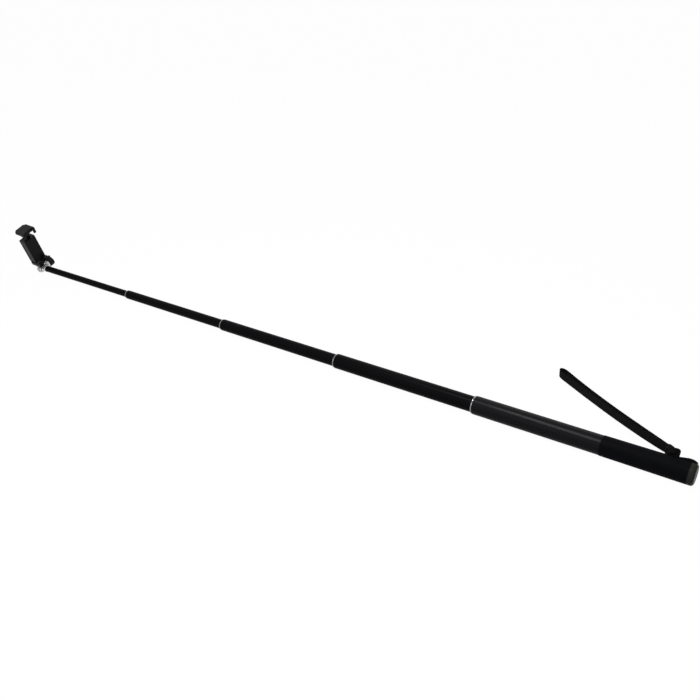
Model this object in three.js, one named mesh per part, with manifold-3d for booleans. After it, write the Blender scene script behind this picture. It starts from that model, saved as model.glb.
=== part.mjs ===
// Telescopic selfie stick with a tilting head and a spring loaded phone clamp.
// Millimetres. Origin at the centre of the handle's flat end, +X along the stick to the head, +Z up.
import * as THREE from "three";
import { mergeVertices } from "three/addons/utils/BufferGeometryUtils.js";
import Module from "manifold-3d";

const wasm = await Module();
wasm.setup();

// Fits and facets
const SLIDE_FIT = 0.1; // radial play of faces that slide or turn
const PRESS_FIT = 0.05; // radial play of faces that are pressed or glued
const SEAT = 0.3; // gap between faces that rest on each other
const ROUND = 36; // facets of a large round piece
const SMALL_ROUND = 20; // facets of a small round piece

// Telescopic tubes, counted from the handle tube, which is tube 0
const HANDLE_LENGTH = 260.8; // flat end to the handle tube's mouth
const SECTION_REACH = 208.3; // length that each drawn out section shows
const MOVING_SECTIONS = 4;
const OVERLAP = 28; // length of a section that stays in the next larger one
const HANDLE_OD = 23.4;
const DIAMETER_STEP = 3.2; // each tube is this much thinner than the one before
const TUBE_WALL = 0.6;
const LIP_LENGTH = 1.2; // rolled edge at each mouth

// Bright ring and the two plastic bushes at each mouth
const RING_SLEEVE = 5;
const RING_REACH = 1.8;
const RING_FLANGE = 0.35;
const TAIL_BUSH = 12;
const BUSH_SLIT = 1.6;

// Grip
const CAP_LENGTH = 9;
const CAP_CORNER = 3.4;
const CAP_PLUG = 7.5;
const GRIP_END_X = 102.4;
const GRIP_REAR_WALL = 0.9;
const GRIP_FRONT_WALL = 0.4;

// Strap ear on the grip, turned about the stick from +Z towards the far side
const EAR_TURN = THREE.MathUtils.degToRad(32.5);
const EAR_X = 25.6;
const EAR_WIDTH = 8.2;
const EAR_THICK = 6;
const EAR_HEIGHT = 9.4; // over the grip's rear end
const RIB_START = 1.6; // rib from the ear back over the cap
const RIB_HEIGHT = 1.6;
const RIB_CORNER = 1.4;
const SLOT_WIDTH = 3;
const SLOT_HEIGHT = 5.6;
const SLOT_DROP = 4.9; // slot's centre below the ear's top

// Wrist strap, a doubled webbing band on edge that rests its tip on the table
const WEB_WIDTH = 10.6;
const WEB_THICK = 1.2;
const STRAP_OFFSET = new THREE.Vector3(11.6, -9.6, -4.6); // slot's centre to the strap's start
const STRAP_END = new THREE.Vector2(209.1, -149.9); // place of the strap's tip on the table
const STRAP_LIFT = 0.2;
const STRAP_SAG = 3;
// Middle line of one run from the keeper to the tip: along the strap, and out from its middle
const STRAP_RUN = [
  [0, 0.95], [10, 1.6], [40, 2.4], [80, 2.8], [115, 3], [150, 3.3],
  [180, 3.7], [198, 4.1], [207, 4.2], [212.4, 3.4], [215.6, 1.8], [216.6, 0],
];
const KEEPER_LENGTH = 7;
const KEEPER_HEIGHT = 11;
const KEEPER_THICK = 5.8;
const TAB_WIDTH = 4.6;
const TAB_THICK = 1.3;

// Head: hinge at the end of the thinnest tube
const ROLL = THREE.MathUtils.degToRad(20); // head turned about the stick
const LEAN = THREE.MathUtils.degToRad(4); // clamp leans to the handle by this much past square
const HINGE_REACH = 14; // tube's end to the hinge axis
const FITTING_PLUG = 13;
const COLLAR_RADIUS = 5.9;
const COLLAR_LENGTH = 3;
const EYE_RADIUS = 6.4;
const TONGUE_THICK = 5;
const TONGUE_NECK = 8.6;
const RIVET_RADIUS = 1;
const RIVET_BACK = 6; // rivet's distance from the tube's end
const WASHER_THICK = 0.5;
const WASHER_RADIUS = 5.8;
const WASHER_PLAY = 0.15;
const CHEEK_THICK = 3.1;
const YOKE_RADIUS = 6.6;
const YOKE_TOP = 10.4;
const YOKE_DISC_RADIUS = 9;
const YOKE_DISC_THICK = 1.9;
const YOKE_SLOT_TOP = 7.9;
const BOLT_RADIUS = 2.5;
const NUT_FLATS = 8;
const NUT_THICK = 4;
const NUT_SINK = 1;
const BOLT_END = 0.5; // bolt's length beyond the nut
const FERRULE_RADIUS = 6.4;
const FERRULE_LENGTH = 5.2;
const KNOB_RADIUS = 7.9;
const KNOB_LENGTH = 9.8;
const KNOB_FLUTES = 8;
const KNOB_SKIRT = 3; // solid end of the knob beyond the bolt

// Quarter inch stud, its lock ring and the clamp's brass insert
const STUD_RADIUS = 3.175;
const STUD_FOOT = 8.2;
const STUD_TOP = 21.2;
const LOCK_RING_RADIUS = 9;
const LOCK_RING_HEIGHT = 4.5;
const LOCK_RING_TEETH = 24;
const INSERT_WALL = 0.7;
const INSERT_HEIGHT = 8.3;

// Phone clamp; heights run from the hinge axis
const CLAMP_FOOT = 15.5;
const CLAMP_FRONT = -19.4; // x of the fingers' front face
const CLAMP_REAR = 5.8;
const CLAMP_HALF_WIDTH = 12.5;
const BASE_THICK = 5;
const JAW_OPENING = 58; // smallest opening between the pads
const PAD_THICK = 1.5;
const PAD_INSET = 0.5;
const FINGER_THICK = 1.7;
const LOWER_LIP = 1.5; // above the lower pad
const FINGER_DROP = 4.4; // below the upper pad
const LOWER_NOTCH = 8; // gap between the lower lips
const UPPER_NOTCH = 15.2; // gap between the upper fingers
const LOWER_NOTCH_DEPTH = 8.6;
const PLATE_THICK = 4.7;
const PLATE_BEVEL = 0.9;
const REAR_CORNER = 4;
const BODY_FRONT = -9.6; // face that the phone's back touches
const BODY_HALF_WIDTH = 11.2;
const FOOT_RELIEF = 0.4; // step that sets the foot of that face back behind the pads
const BODY_WALL = 1.6;
const BODY_TOP = 67;
const HEAD_WALL = 4.5; // end wall of the housing, which the springs push on
const COVER_THICK = 1.2;
const STEM_PLAY = 0.75; // between the stem and the springs beside it
const STEM_FRONT = -6.2;
const STEM_REAR = 2.4;
const STEM_GROOVE = 1;
const FOOT_HEIGHT = 4;
const INSERT_BOSS_RADIUS = 6.1;
const ROD_RADIUS = 1.1;
const ROD_X = -2;
const ROD_SEAT_DEPTH = 3.4;
const SPRING_RADIUS = 1.75; // of the coil's middle line
const SPRING_WIRE = 0.3;
const SPRING_TURNS = 9;
const SPRING_PLAY = 0.35; // between a spring and the housing's side wall
const SCREW_SHANK = 0.9;
const SCREW_HEAD = 1.9;
const SCREW_HEAD_THICK = 1.1;
const SCREW_DEPTH = 3.4;
const SCREW_INSET = 2.2; // screws' axes from the inside of the side walls
const SCREW_BOSS_RADIUS = 1.9;

const FINISHES = {
  painted: { color: 0x17171a, roughness: 0.32, metalness: 0.4 },
  grip: { color: 0x151517, roughness: 0.62, metalness: 0 },
  cap: { color: 0x2e2f2b, roughness: 0.35, metalness: 0.2 },
  chrome: { color: 0xd4d5d8, roughness: 0.12, metalness: 1 },
  satinSteel: { color: 0xb9babd, roughness: 0.3, metalness: 1 },
  castSilver: { color: 0xcfd0d2, roughness: 0.35, metalness: 0.9 },
  blackPlastic: { color: 0x121214, roughness: 0.45, metalness: 0 },
  innerPlastic: { color: 0x3a3a3c, roughness: 0.55, metalness: 0 },
  rubber: { color: 0x0f0f10, roughness: 0.85, metalness: 0 },
  brass: { color: 0xb08d4a, roughness: 0.3, metalness: 1 },
  webbing: { color: 0x161616, roughness: 0.9, metalness: 0 },
};

function toSolid(geometry) {
  const bare = geometry.index ? geometry.toNonIndexed() : geometry.clone();
  bare.deleteAttribute("normal");
  bare.deleteAttribute("uv");
  const merged = mergeVertices(bare, 1e-4);
  return new wasm.Manifold(
    new wasm.Mesh({
      numProp: 3,
      vertProperties: merged.attributes.position.array,
      triVerts: new Uint32Array(merged.index.array),
    }),
  );
}

function toGeometry(solid) {
  const mesh = solid.getMesh();
  const geometry = new THREE.BufferGeometry();
  geometry.setAttribute("position", new THREE.BufferAttribute(mesh.vertProperties, mesh.numProp));
  geometry.setIndex(new THREE.BufferAttribute(mesh.triVerts, 1));
  geometry.computeVertexNormals();
  return geometry;
}

const join = (first, ...rest) => toGeometry(rest.reduce((s, g) => s.add(toSolid(g)), toSolid(first)));
const cut = (first, ...rest) =>
  toGeometry(rest.reduce((s, g) => s.subtract(toSolid(g)), toSolid(first)));

function piece(name, finish, geometry) {
  const mesh = new THREE.Mesh(geometry, new THREE.MeshStandardMaterial(FINISHES[finish]));
  mesh.name = name;
  return mesh;
}

// A profile of [height, radius] points turned about the Y axis
function turned(profile, facets = ROUND) {
  return new THREE.LatheGeometry(profile.map(([h, r]) => new THREE.Vector2(r, h)), facets);
}
const alongX = (geometry) => geometry.rotateZ(-Math.PI / 2);
const alongZ = (geometry) => geometry.rotateX(Math.PI / 2);

// A sleeve from one height to another, and a rod
const sleeve = (from, to, inner, outer, facets = ROUND) =>
  turned([[from, inner], [from, outer], [to, outer], [to, inner], [from, inner]], facets);
const rod = (from, to, radius, facets = SMALL_ROUND) =>
  turned([[from, 0], [from, radius], [to, radius], [to, 0]], facets);

// A box between two corners
function block(x0, x1, y0, y1, z0, z1) {
  return new THREE.BoxGeometry(x1 - x0, y1 - y0, z1 - z0).translate(
    (x0 + x1) / 2,
    (y0 + y1) / 2,
    (z0 + z1) / 2,
  );
}

// A rectangle with round corners, given by its sides
function roundedShape(x0, x1, y0, y1, radius) {
  const shape = new THREE.Shape();
  shape.absarc(x1 - radius, y0 + radius, radius, -Math.PI / 2, 0);
  shape.absarc(x1 - radius, y1 - radius, radius, 0, Math.PI / 2);
  shape.absarc(x0 + radius, y1 - radius, radius, Math.PI / 2, Math.PI);
  shape.absarc(x0 + radius, y0 + radius, radius, Math.PI, Math.PI * 1.5);
  return shape;
}
function extruded(shape, from, to, curveSegments = 4) {
  const options = { depth: to - from, bevelEnabled: false, curveSegments };
  return new THREE.ExtrudeGeometry(shape, options).translate(0, 0, from);
}
// An outline in the YZ plane, from one x to another
function facing(shape, from, to, curveSegments) {
  const y = new THREE.Vector3(0, 1, 0);
  const z = new THREE.Vector3(0, 0, 1);
  const x = new THREE.Vector3(1, 0, 0);
  return extruded(shape, from, to, curveSegments).applyMatrix4(new THREE.Matrix4().makeBasis(y, z, x));
}
// An outline in the XZ plane, as thick along Y as twice the half thickness
const sidePlate = (shape, half, curveSegments) =>
  extruded(shape, -half, half, curveSegments).rotateX(Math.PI / 2);

const outerRadius = (tube) => (HANDLE_OD - tube * DIAMETER_STEP) / 2;
const boreRadius = (tube) => outerRadius(tube) - TUBE_WALL;
const gripRear = outerRadius(0) + GRIP_REAR_WALL;
const gripFront = outerRadius(0) + GRIP_FRONT_WALL;
const capRadius = gripRear;
const earTop = gripRear + EAR_HEIGHT;
const mouthX = (tube) => HANDLE_LENGTH + tube * SECTION_REACH;
const tailX = (tube) => (tube === 0 ? CAP_LENGTH + PRESS_FIT : mouthX(tube - 1) - OVERLAP);

function tubeGeometry(tube) {
  const outer = outerRadius(tube);
  const bore = boreRadius(tube);
  const mouth = mouthX(tube);
  const tail = tailX(tube);
  const rolled = [
    [mouth - LIP_LENGTH, outer],
    [mouth - LIP_LENGTH * 0.4, outer - TUBE_WALL * 0.12],
    [mouth, outer - TUBE_WALL * 0.55],
  ];
  const profile = [[tail, bore], [tail, outer], ...rolled, [mouth, bore], [tail, bore]];
  return alongX(turned(profile));
}

// The bright ring in a tube's mouth, with a flange on the tube's rolled edge
function mouthRing(tube) {
  const bore = boreRadius(tube);
  const mouth = mouthX(tube);
  const inner = outerRadius(tube + 1) + SLIDE_FIT;
  const sleeveOuter = bore - PRESS_FIT;
  const flange = bore + RING_FLANGE;
  const start = mouth - RING_SLEEVE;
  const profile = [
    [start, inner],
    [start, sleeveOuter],
    [mouth + PRESS_FIT, sleeveOuter],
    [mouth + PRESS_FIT, flange],
    [mouth + RING_REACH * 0.6, flange],
    [mouth + RING_REACH, flange - RING_FLANGE * 1.4],
    [mouth + RING_REACH, inner],
    [start, inner],
  ];
  return alongX(turned(profile));
}

function frontBush(tube) {
  const to = mouthX(tube) - RING_SLEEVE - PRESS_FIT;
  const from = mouthX(tube) - OVERLAP + TAIL_BUSH + SEAT;
  return alongX(sleeve(from, to, outerRadius(tube + 1) + SLIDE_FIT, boreRadius(tube) - PRESS_FIT));
}

// The split sleeve on a section's tail, which stops against the front bush
function tailBush(tube) {
  const inner = outerRadius(tube) + PRESS_FIT;
  const outer = boreRadius(tube - 1) - SLIDE_FIT;
  const slit = BUSH_SLIT / 2 / inner;
  const shape = new THREE.Shape();
  shape.absarc(0, 0, outer, slit, 2 * Math.PI - slit, false);
  shape.absarc(0, 0, inner, 2 * Math.PI - slit, slit, true);
  const from = tailX(tube) + SEAT;
  const to = tailX(tube) + TAIL_BUSH;
  return extruded(shape, from, to, ROUND / 2).rotateY(Math.PI / 2);
}

function endCap() {
  const corner = [0, 30, 60, 90].map((degrees) => {
    const a = THREE.MathUtils.degToRad(degrees);
    const back = CAP_CORNER * (1 - Math.sin(a));
    return [back, capRadius - CAP_CORNER * (1 - Math.cos(a))];
  });
  const plug = boreRadius(0) - PRESS_FIT;
  const plugEnd = CAP_LENGTH + CAP_PLUG;
  const tail = [[CAP_LENGTH, capRadius], [CAP_LENGTH, plug], [plugEnd - 1, plug], [plugEnd, plug - 1]];
  return alongX(turned([[0, 0], ...corner.reverse(), ...tail, [plugEnd, 0]]));
}

function gripSleeve() {
  const from = CAP_LENGTH + PRESS_FIT;
  const profile = [
    [from, 0],
    [from, gripRear - 0.3],
    [from + 0.6, gripRear],
    [GRIP_END_X - 1, gripFront],
    [GRIP_END_X - 0.3, gripFront - GRIP_FRONT_WALL * 0.15],
    [GRIP_END_X, gripFront - GRIP_FRONT_WALL * 0.5],
    [GRIP_END_X, 0],
  ];
  const half = EAR_WIDTH / 2;
  const ear = roundedShape(EAR_X - half, EAR_X + half, 0, earTop, half - 0.2);
  const slotHalf = SLOT_WIDTH / 2;
  const slotLow = earTop - SLOT_DROP - SLOT_HEIGHT / 2;
  const slot = roundedShape(EAR_X - slotHalf, EAR_X + slotHalf, slotLow, slotLow + SLOT_HEIGHT, 1.2);
  const standing = sidePlate(ear, EAR_THICK / 2).rotateX(EAR_TURN);
  const slotCutter = sidePlate(slot, EAR_THICK).rotateX(EAR_TURN);
  const rib = roundedShape(RIB_START, EAR_X, 0, gripRear + RIB_HEIGHT, RIB_CORNER);
  const lying = sidePlate(rib, EAR_THICK / 2).rotateX(EAR_TURN);
  const bore = alongX(rod(from - 1, GRIP_END_X + 1, outerRadius(0) + PRESS_FIT, ROUND));
  const capRoom = alongX(rod(-1, CAP_LENGTH + PRESS_FIT, capRadius + SEAT, ROUND));
  return cut(join(alongX(turned(profile)), standing, lying), slotCutter, bore, capRoom);
}

// Directions of the strap: along it, across its two runs, and up its width
const earRadial = new THREE.Vector3(0, -Math.sin(EAR_TURN), Math.cos(EAR_TURN));
const slotCentre = earRadial.clone().multiplyScalar(earTop - SLOT_DROP).setX(EAR_X);
const strapStart = slotCentre.clone().add(STRAP_OFFSET);
const strapTip = new THREE.Vector3(STRAP_END.x, STRAP_END.y, WEB_WIDTH / 2 + STRAP_LIFT - capRadius);
const strapAlong = strapTip.clone().sub(strapStart).normalize();
const strapUp = new THREE.Vector3(0, 0, 1).addScaledVector(strapAlong, -strapAlong.z).normalize();
const strapAcross = strapUp.clone().cross(strapAlong);

function strapFrame() {
  const group = new THREE.Group();
  const basis = new THREE.Matrix4().makeBasis(strapAlong, strapAcross, strapUp);
  group.quaternion.setFromRotationMatrix(basis);
  group.position.copy(strapStart);
  return group;
}

// A smooth curve with as many steps between each two of its points
class Route extends THREE.CatmullRomCurve3 {
  getPointAt(u, target) {
    return this.getPoint(u, target);
  }
  getTangentAt(u, target) {
    return this.getTangent(u, target);
  }
}

function strapLoop() {
  const back = STRAP_RUN.slice(0, -1).reverse().map(([x, y]) => [x, -y]);
  const reach = STRAP_RUN.at(-1)[0];
  const sag = (x) => -4 * STRAP_SAG * (x / reach) * (1 - x / reach);
  const points = [...STRAP_RUN, ...back].map(([x, y]) => new THREE.Vector3(x, y, sag(x)));
  const w = WEB_WIDTH / 2;
  const t = WEB_THICK / 2;
  const corners = [[-w, -t / 2], [0.4 - w, -t], [w - 0.4, -t], [w, -t / 2]];
  const section = new THREE.Shape();
  [...corners, ...corners.map(([x, y]) => [-x, -y])].forEach(([x, y], i) =>
    i === 0 ? section.moveTo(x, y) : section.lineTo(x, y));
  section.closePath();
  const options = { extrudePath: new Route(points), steps: 2 * (points.length - 1) };
  return new THREE.ExtrudeGeometry(section, options);
}

function strapKeeper() {
  const shape = roundedShape(-KEEPER_LENGTH - SEAT, -SEAT, -KEEPER_THICK / 2, KEEPER_THICK / 2, 1.8);
  return extruded(shape, -KEEPER_HEIGHT / 2, KEEPER_HEIGHT / 2);
}

// The narrow webbing that goes through the ear's slot and round its bar to the keeper
function strapTab() {
  const face = EAR_THICK / 2 + TAB_THICK / 2 + 0.45;
  const front = EAR_WIDTH / 2 + TAB_THICK / 2;
  const points = [
    [front - 0.65, face + 2.35, 1],
    [front - 1.75, face + 1.1, 0.6],
    [2, face + 0.1, 0.1],
    [0.6, face - 0.5, 0],
    [0, face - 2.1, 0],
    [0, 0, 0],
    [0, 2.1 - face, 0],
    [0.6, 0.5 - face, 0],
    [2.2, -face, 0],
    [front - 0.25, -face, 0],
    [front + 1.1, 1.7 - face, 0.1],
    [front + 1.2, 0, 0.3],
    [front + 1.15, 2.2, 0.6],
    [front + 1.1, face - 0.3, 0.8],
  ];
  const curve = new THREE.CatmullRomCurve3(points.map((p) => new THREE.Vector3(...p)));
  const w = TAB_WIDTH / 2;
  const t = TAB_THICK / 2;
  const shape = new THREE.Shape().moveTo(-w, -t).lineTo(w, -t).lineTo(w, t).lineTo(-w, t).closePath();
  return new THREE.ExtrudeGeometry(shape, { extrudePath: curve, steps: 34 });
}

function grip() {
  const group = new THREE.Group();
  group.add(piece("end_cap", "cap", endCap()));
  group.add(piece("grip_sleeve", "grip", gripSleeve()));
  const strap = strapFrame();
  strap.add(piece("strap_loop", "webbing", strapLoop()));
  strap.add(piece("strap_keeper", "webbing", strapKeeper()));
  const ear = new THREE.Group();
  const along = new THREE.Vector3(1, 0, 0);
  const away = earRadial.clone().cross(along).negate();
  const basis = new THREE.Matrix4().makeBasis(along, away, earRadial.clone().negate());
  ear.quaternion.setFromRotationMatrix(basis);
  ear.position.copy(slotCentre);
  ear.add(piece("strap_tab", "webbing", strapTab()));
  group.add(strap, ear);
  return group;
}

const endX = mouthX(MOVING_SECTIONS);
const hingeX = endX + HINGE_REACH;
const rivetX = endX - RIVET_BACK;

function telescope() {
  const group = new THREE.Group();
  for (let tube = 0; tube <= MOVING_SECTIONS; tube += 1) {
    const name = tube === 0 ? "handle" : `section_${tube}`;
    let geometry = tubeGeometry(tube);
    if (tube === MOVING_SECTIONS) {
      const hole = rod(-HANDLE_OD, HANDLE_OD, RIVET_RADIUS + SLIDE_FIT).translate(rivetX, 0, 0);
      geometry = cut(geometry, hole.rotateX(-ROLL));
    }
    group.add(piece(`${name}_tube`, "painted", geometry));
    if (tube < MOVING_SECTIONS) {
      group.add(piece(`${name}_mouth_ring`, "chrome", mouthRing(tube)));
      group.add(piece(`${name}_front_bush`, "innerPlastic", frontBush(tube)));
    }
    if (tube > 0) group.add(piece(`${name}_tail_bush`, "innerPlastic", tailBush(tube)));
  }
  return group;
}

const tongueHalf = TONGUE_THICK / 2;
const washerInner = tongueHalf + WASHER_PLAY;
const cheekInner = washerInner + WASHER_THICK + WASHER_PLAY;
const cheekOuter = cheekInner + CHEEK_THICK;

// Silver fitting: plug in the tube, collar, and the tongue with the hinge's eye
function tubeFitting() {
  const start = -HINGE_REACH;
  const plug = boreRadius(MOVING_SECTIONS) - PRESS_FIT;
  const collarEnd = start + COLLAR_LENGTH;
  const profile = [
    [start - FITTING_PLUG, 0],
    [start - FITTING_PLUG, plug - 0.6],
    [start - FITTING_PLUG + 0.6, plug],
    [start + SLIDE_FIT, plug],
    [start + SLIDE_FIT, COLLAR_RADIUS],
    [collarEnd - 0.6, COLLAR_RADIUS],
    [collarEnd, COLLAR_RADIUS - 0.6],
    [collarEnd, 0],
  ];
  const neck = TONGUE_NECK / 2;
  const shape = new THREE.Shape().moveTo(collarEnd - 1, -neck).lineTo(collarEnd + 1.5, -neck);
  shape.absarc(0, 0, EYE_RADIUS, -Math.PI * 0.72, Math.PI * 0.72);
  shape.lineTo(collarEnd + 1.5, neck).lineTo(collarEnd - 1, neck);
  const body = join(alongX(turned(profile, 32)), sidePlate(shape, tongueHalf, 14));
  const eye = rod(-EYE_RADIUS, EYE_RADIUS, BOLT_RADIUS + SLIDE_FIT);
  const rivetHole = rod(-EYE_RADIUS, EYE_RADIUS, RIVET_RADIUS + SLIDE_FIT);
  return cut(body, eye, rivetHole.translate(rivetX - hingeX, 0, 0));
}

function knobOutline() {
  const shape = new THREE.Shape();
  const steps = KNOB_FLUTES * 5;
  for (let i = 0; i < steps; i += 1) {
    const a = (i / steps) * 2 * Math.PI;
    const flute = Math.max(0, Math.cos(a * KNOB_FLUTES)) * 0.09;
    const r = KNOB_RADIUS * (1 - flute);
    if (i === 0) shape.moveTo(r * Math.cos(a), r * Math.sin(a));
    else shape.lineTo(r * Math.cos(a), r * Math.sin(a));
  }
  shape.closePath();
  return shape;
}

const ferruleFrom = -cheekOuter - SEAT;
const ferruleTo = ferruleFrom - FERRULE_LENGTH;
const knobFrom = ferruleTo - SEAT;
const knobTo = knobFrom - KNOB_LENGTH;
const nutFrom = cheekOuter - NUT_SINK;
const nutTo = nutFrom + NUT_THICK;

function tiltKnob() {
  const bevel = 1.1;
  const options = {
    depth: KNOB_LENGTH - 2 * bevel,
    bevelThickness: bevel,
    bevelSize: bevel,
    bevelOffset: -bevel,
    bevelSegments: 2,
  };
  const fluted = new THREE.ExtrudeGeometry(knobOutline(), options);
  const body = fluted.translate(0, 0, -knobFrom + bevel).rotateX(Math.PI / 2);
  const bore = rod(knobTo + KNOB_SKIRT, knobFrom + 1, BOLT_RADIUS + SLIDE_FIT);
  return cut(body, bore);
}

const lockRingFrom = YOKE_TOP + SEAT;

function yoke() {
  const shape = new THREE.Shape().moveTo(-YOKE_RADIUS, YOKE_TOP);
  shape.absarc(0, 0, YOKE_RADIUS, Math.PI, 2 * Math.PI);
  shape.lineTo(YOKE_RADIUS, YOKE_TOP);
  const body = sidePlate(shape, cheekOuter, 12);
  const disc = alongZ(rod(YOKE_TOP - YOKE_DISC_THICK, YOKE_TOP, YOKE_DISC_RADIUS, ROUND));
  const reach = 2 * YOKE_RADIUS;
  const slot = block(-reach, reach, -cheekInner, cheekInner, -reach, YOKE_SLOT_TOP);
  const boltHole = rod(-reach, reach, BOLT_RADIUS + SLIDE_FIT);
  const studHole = alongZ(rod(0, reach, STUD_RADIUS + PRESS_FIT));
  const nutPocket = hexagon(nutFrom - SEAT, cheekOuter + 1, NUT_FLATS / 2 + SLIDE_FIT);
  return cut(join(body, disc), slot, boltHole, studHole, nutPocket);
}

// A hexagonal prism along Y
function hexagon(from, to, flatRadius) {
  return rod(from, to, flatRadius / Math.cos(Math.PI / 6), 6);
}

function lockRing() {
  const shape = new THREE.Shape();
  for (let i = 0; i < 2 * LOCK_RING_TEETH; i += 1) {
    const a = (i / LOCK_RING_TEETH) * Math.PI;
    const r = LOCK_RING_RADIUS - (i % 2) * 0.45;
    if (i === 0) shape.moveTo(r, 0);
    else shape.lineTo(r * Math.cos(a), r * Math.sin(a));
  }
  shape.closePath();
  const ring = extruded(shape, lockRingFrom, lockRingFrom + LOCK_RING_HEIGHT);
  return cut(ring, alongZ(rod(0, STUD_TOP, STUD_RADIUS + SLIDE_FIT)));
}

function hinge() {
  const group = new THREE.Group();
  group.add(piece("tube_fitting", "castSilver", tubeFitting()));
  // Filed flush with the tube, so that it passes the ring of the tube before
  const rivetHalf = Math.sqrt(outerRadius(MOVING_SECTIONS) ** 2 - RIVET_RADIUS ** 2);
  const rivet = rod(-rivetHalf, rivetHalf, RIVET_RADIUS).translate(rivetX - hingeX, 0, 0);
  group.add(piece("fitting_rivet", "satinSteel", rivet));
  const ferrule = [
    [ferruleTo, BOLT_RADIUS + SLIDE_FIT],
    [ferruleTo, FERRULE_RADIUS],
    [ferruleFrom - 1.2, FERRULE_RADIUS],
    [ferruleFrom, FERRULE_RADIUS - 0.9],
    [ferruleFrom, BOLT_RADIUS + SLIDE_FIT],
    [ferruleTo, BOLT_RADIUS + SLIDE_FIT],
  ];
  group.add(piece("knob_ferrule", "chrome", turned(ferrule, 32)));
  group.add(piece("tilt_knob", "blackPlastic", tiltKnob()));
  const boltFoot = knobTo + KNOB_SKIRT + SEAT;
  group.add(piece("hinge_bolt", "satinSteel", rod(boltFoot, nutTo + BOLT_END, BOLT_RADIUS)));
  for (const [side, sign] of [["near", 1], ["far", -1]]) {
    const from = sign > 0 ? washerInner : -washerInner - WASHER_THICK;
    const washer = sleeve(from, from + WASHER_THICK, BOLT_RADIUS + SLIDE_FIT, WASHER_RADIUS, 28);
    group.add(piece(`${side}_friction_washer`, "innerPlastic", washer));
  }
  return group;
}

function mount() {
  const group = new THREE.Group();
  group.add(piece("yoke", "castSilver", yoke()));
  const nutHole = rod(nutFrom - 1, nutTo + 1, BOLT_RADIUS + SLIDE_FIT);
  const nut = cut(hexagon(nutFrom, nutTo, NUT_FLATS / 2), nutHole);
  group.add(piece("hinge_nut", "satinSteel", nut));
  const stud = [
    [STUD_FOOT, 0],
    [STUD_FOOT, STUD_RADIUS],
    [STUD_TOP - 0.8, STUD_RADIUS],
    [STUD_TOP, STUD_RADIUS - 0.8],
    [STUD_TOP, 0],
  ];
  group.add(piece("quarter_inch_stud", "satinSteel", alongZ(turned(stud, SMALL_ROUND))));
  group.add(piece("lock_ring", "blackPlastic", lockRing()));
  return group;
}

const baseTop = CLAMP_FOOT + BASE_THICK;
const lowerPadTop = baseTop + SEAT + PAD_THICK;
const lipTop = lowerPadTop + LOWER_LIP;
const upperPadFoot = lowerPadTop + JAW_OPENING;
const plateFoot = upperPadFoot + PAD_THICK + SEAT;
const plateTop = plateFoot + PLATE_THICK;
const fingerBack = CLAMP_FRONT + FINGER_THICK;
const insertTop = CLAMP_FOOT + INSERT_HEIGHT;
const insertRadius = STUD_RADIUS + SLIDE_FIT + INSERT_WALL;
const bossTop = insertTop + 0.9;
const footFoot = bossTop + SEAT;
const footTop = footFoot + FOOT_HEIGHT;
const bodyRear = CLAMP_REAR - COVER_THICK - SEAT;
const cavityTop = BODY_TOP - HEAD_WALL;
const cavityHalf = BODY_HALF_WIDTH - BODY_WALL;
const cavityFront = BODY_FRONT + BODY_WALL;
const rodY = cavityHalf - SPRING_PLAY - SPRING_RADIUS - SPRING_WIRE;
const stemHalf = rodY - SPRING_RADIUS - SPRING_WIRE - STEM_PLAY;
const screwY = cavityHalf - SCREW_INSET;
const screwHeights = [baseTop + SCREW_BOSS_RADIUS + 0.1, cavityTop + HEAD_WALL / 2];
const coverFoot = baseTop + SEAT;
const headSeat = CLAMP_REAR - 0.6; // bottom of the screws' counterbores

// Holes for the guide rods, blind in the base and in the head wall
function rodHoles() {
  const depth = ROD_SEAT_DEPTH + SEAT;
  const ends = [[baseTop - depth, baseTop + 1], [cavityTop - 1, cavityTop + depth]];
  const hole = ([from, to]) => alongZ(rod(from, to, ROD_RADIUS + SLIDE_FIT));
  return [-rodY, rodY].flatMap((y) => ends.map((end) => hole(end).translate(ROD_X, y, 0)));
}

const screwPlaces = screwHeights.flatMap((z) => [-1, 1].map((side) => [side * screwY, z]));

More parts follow.
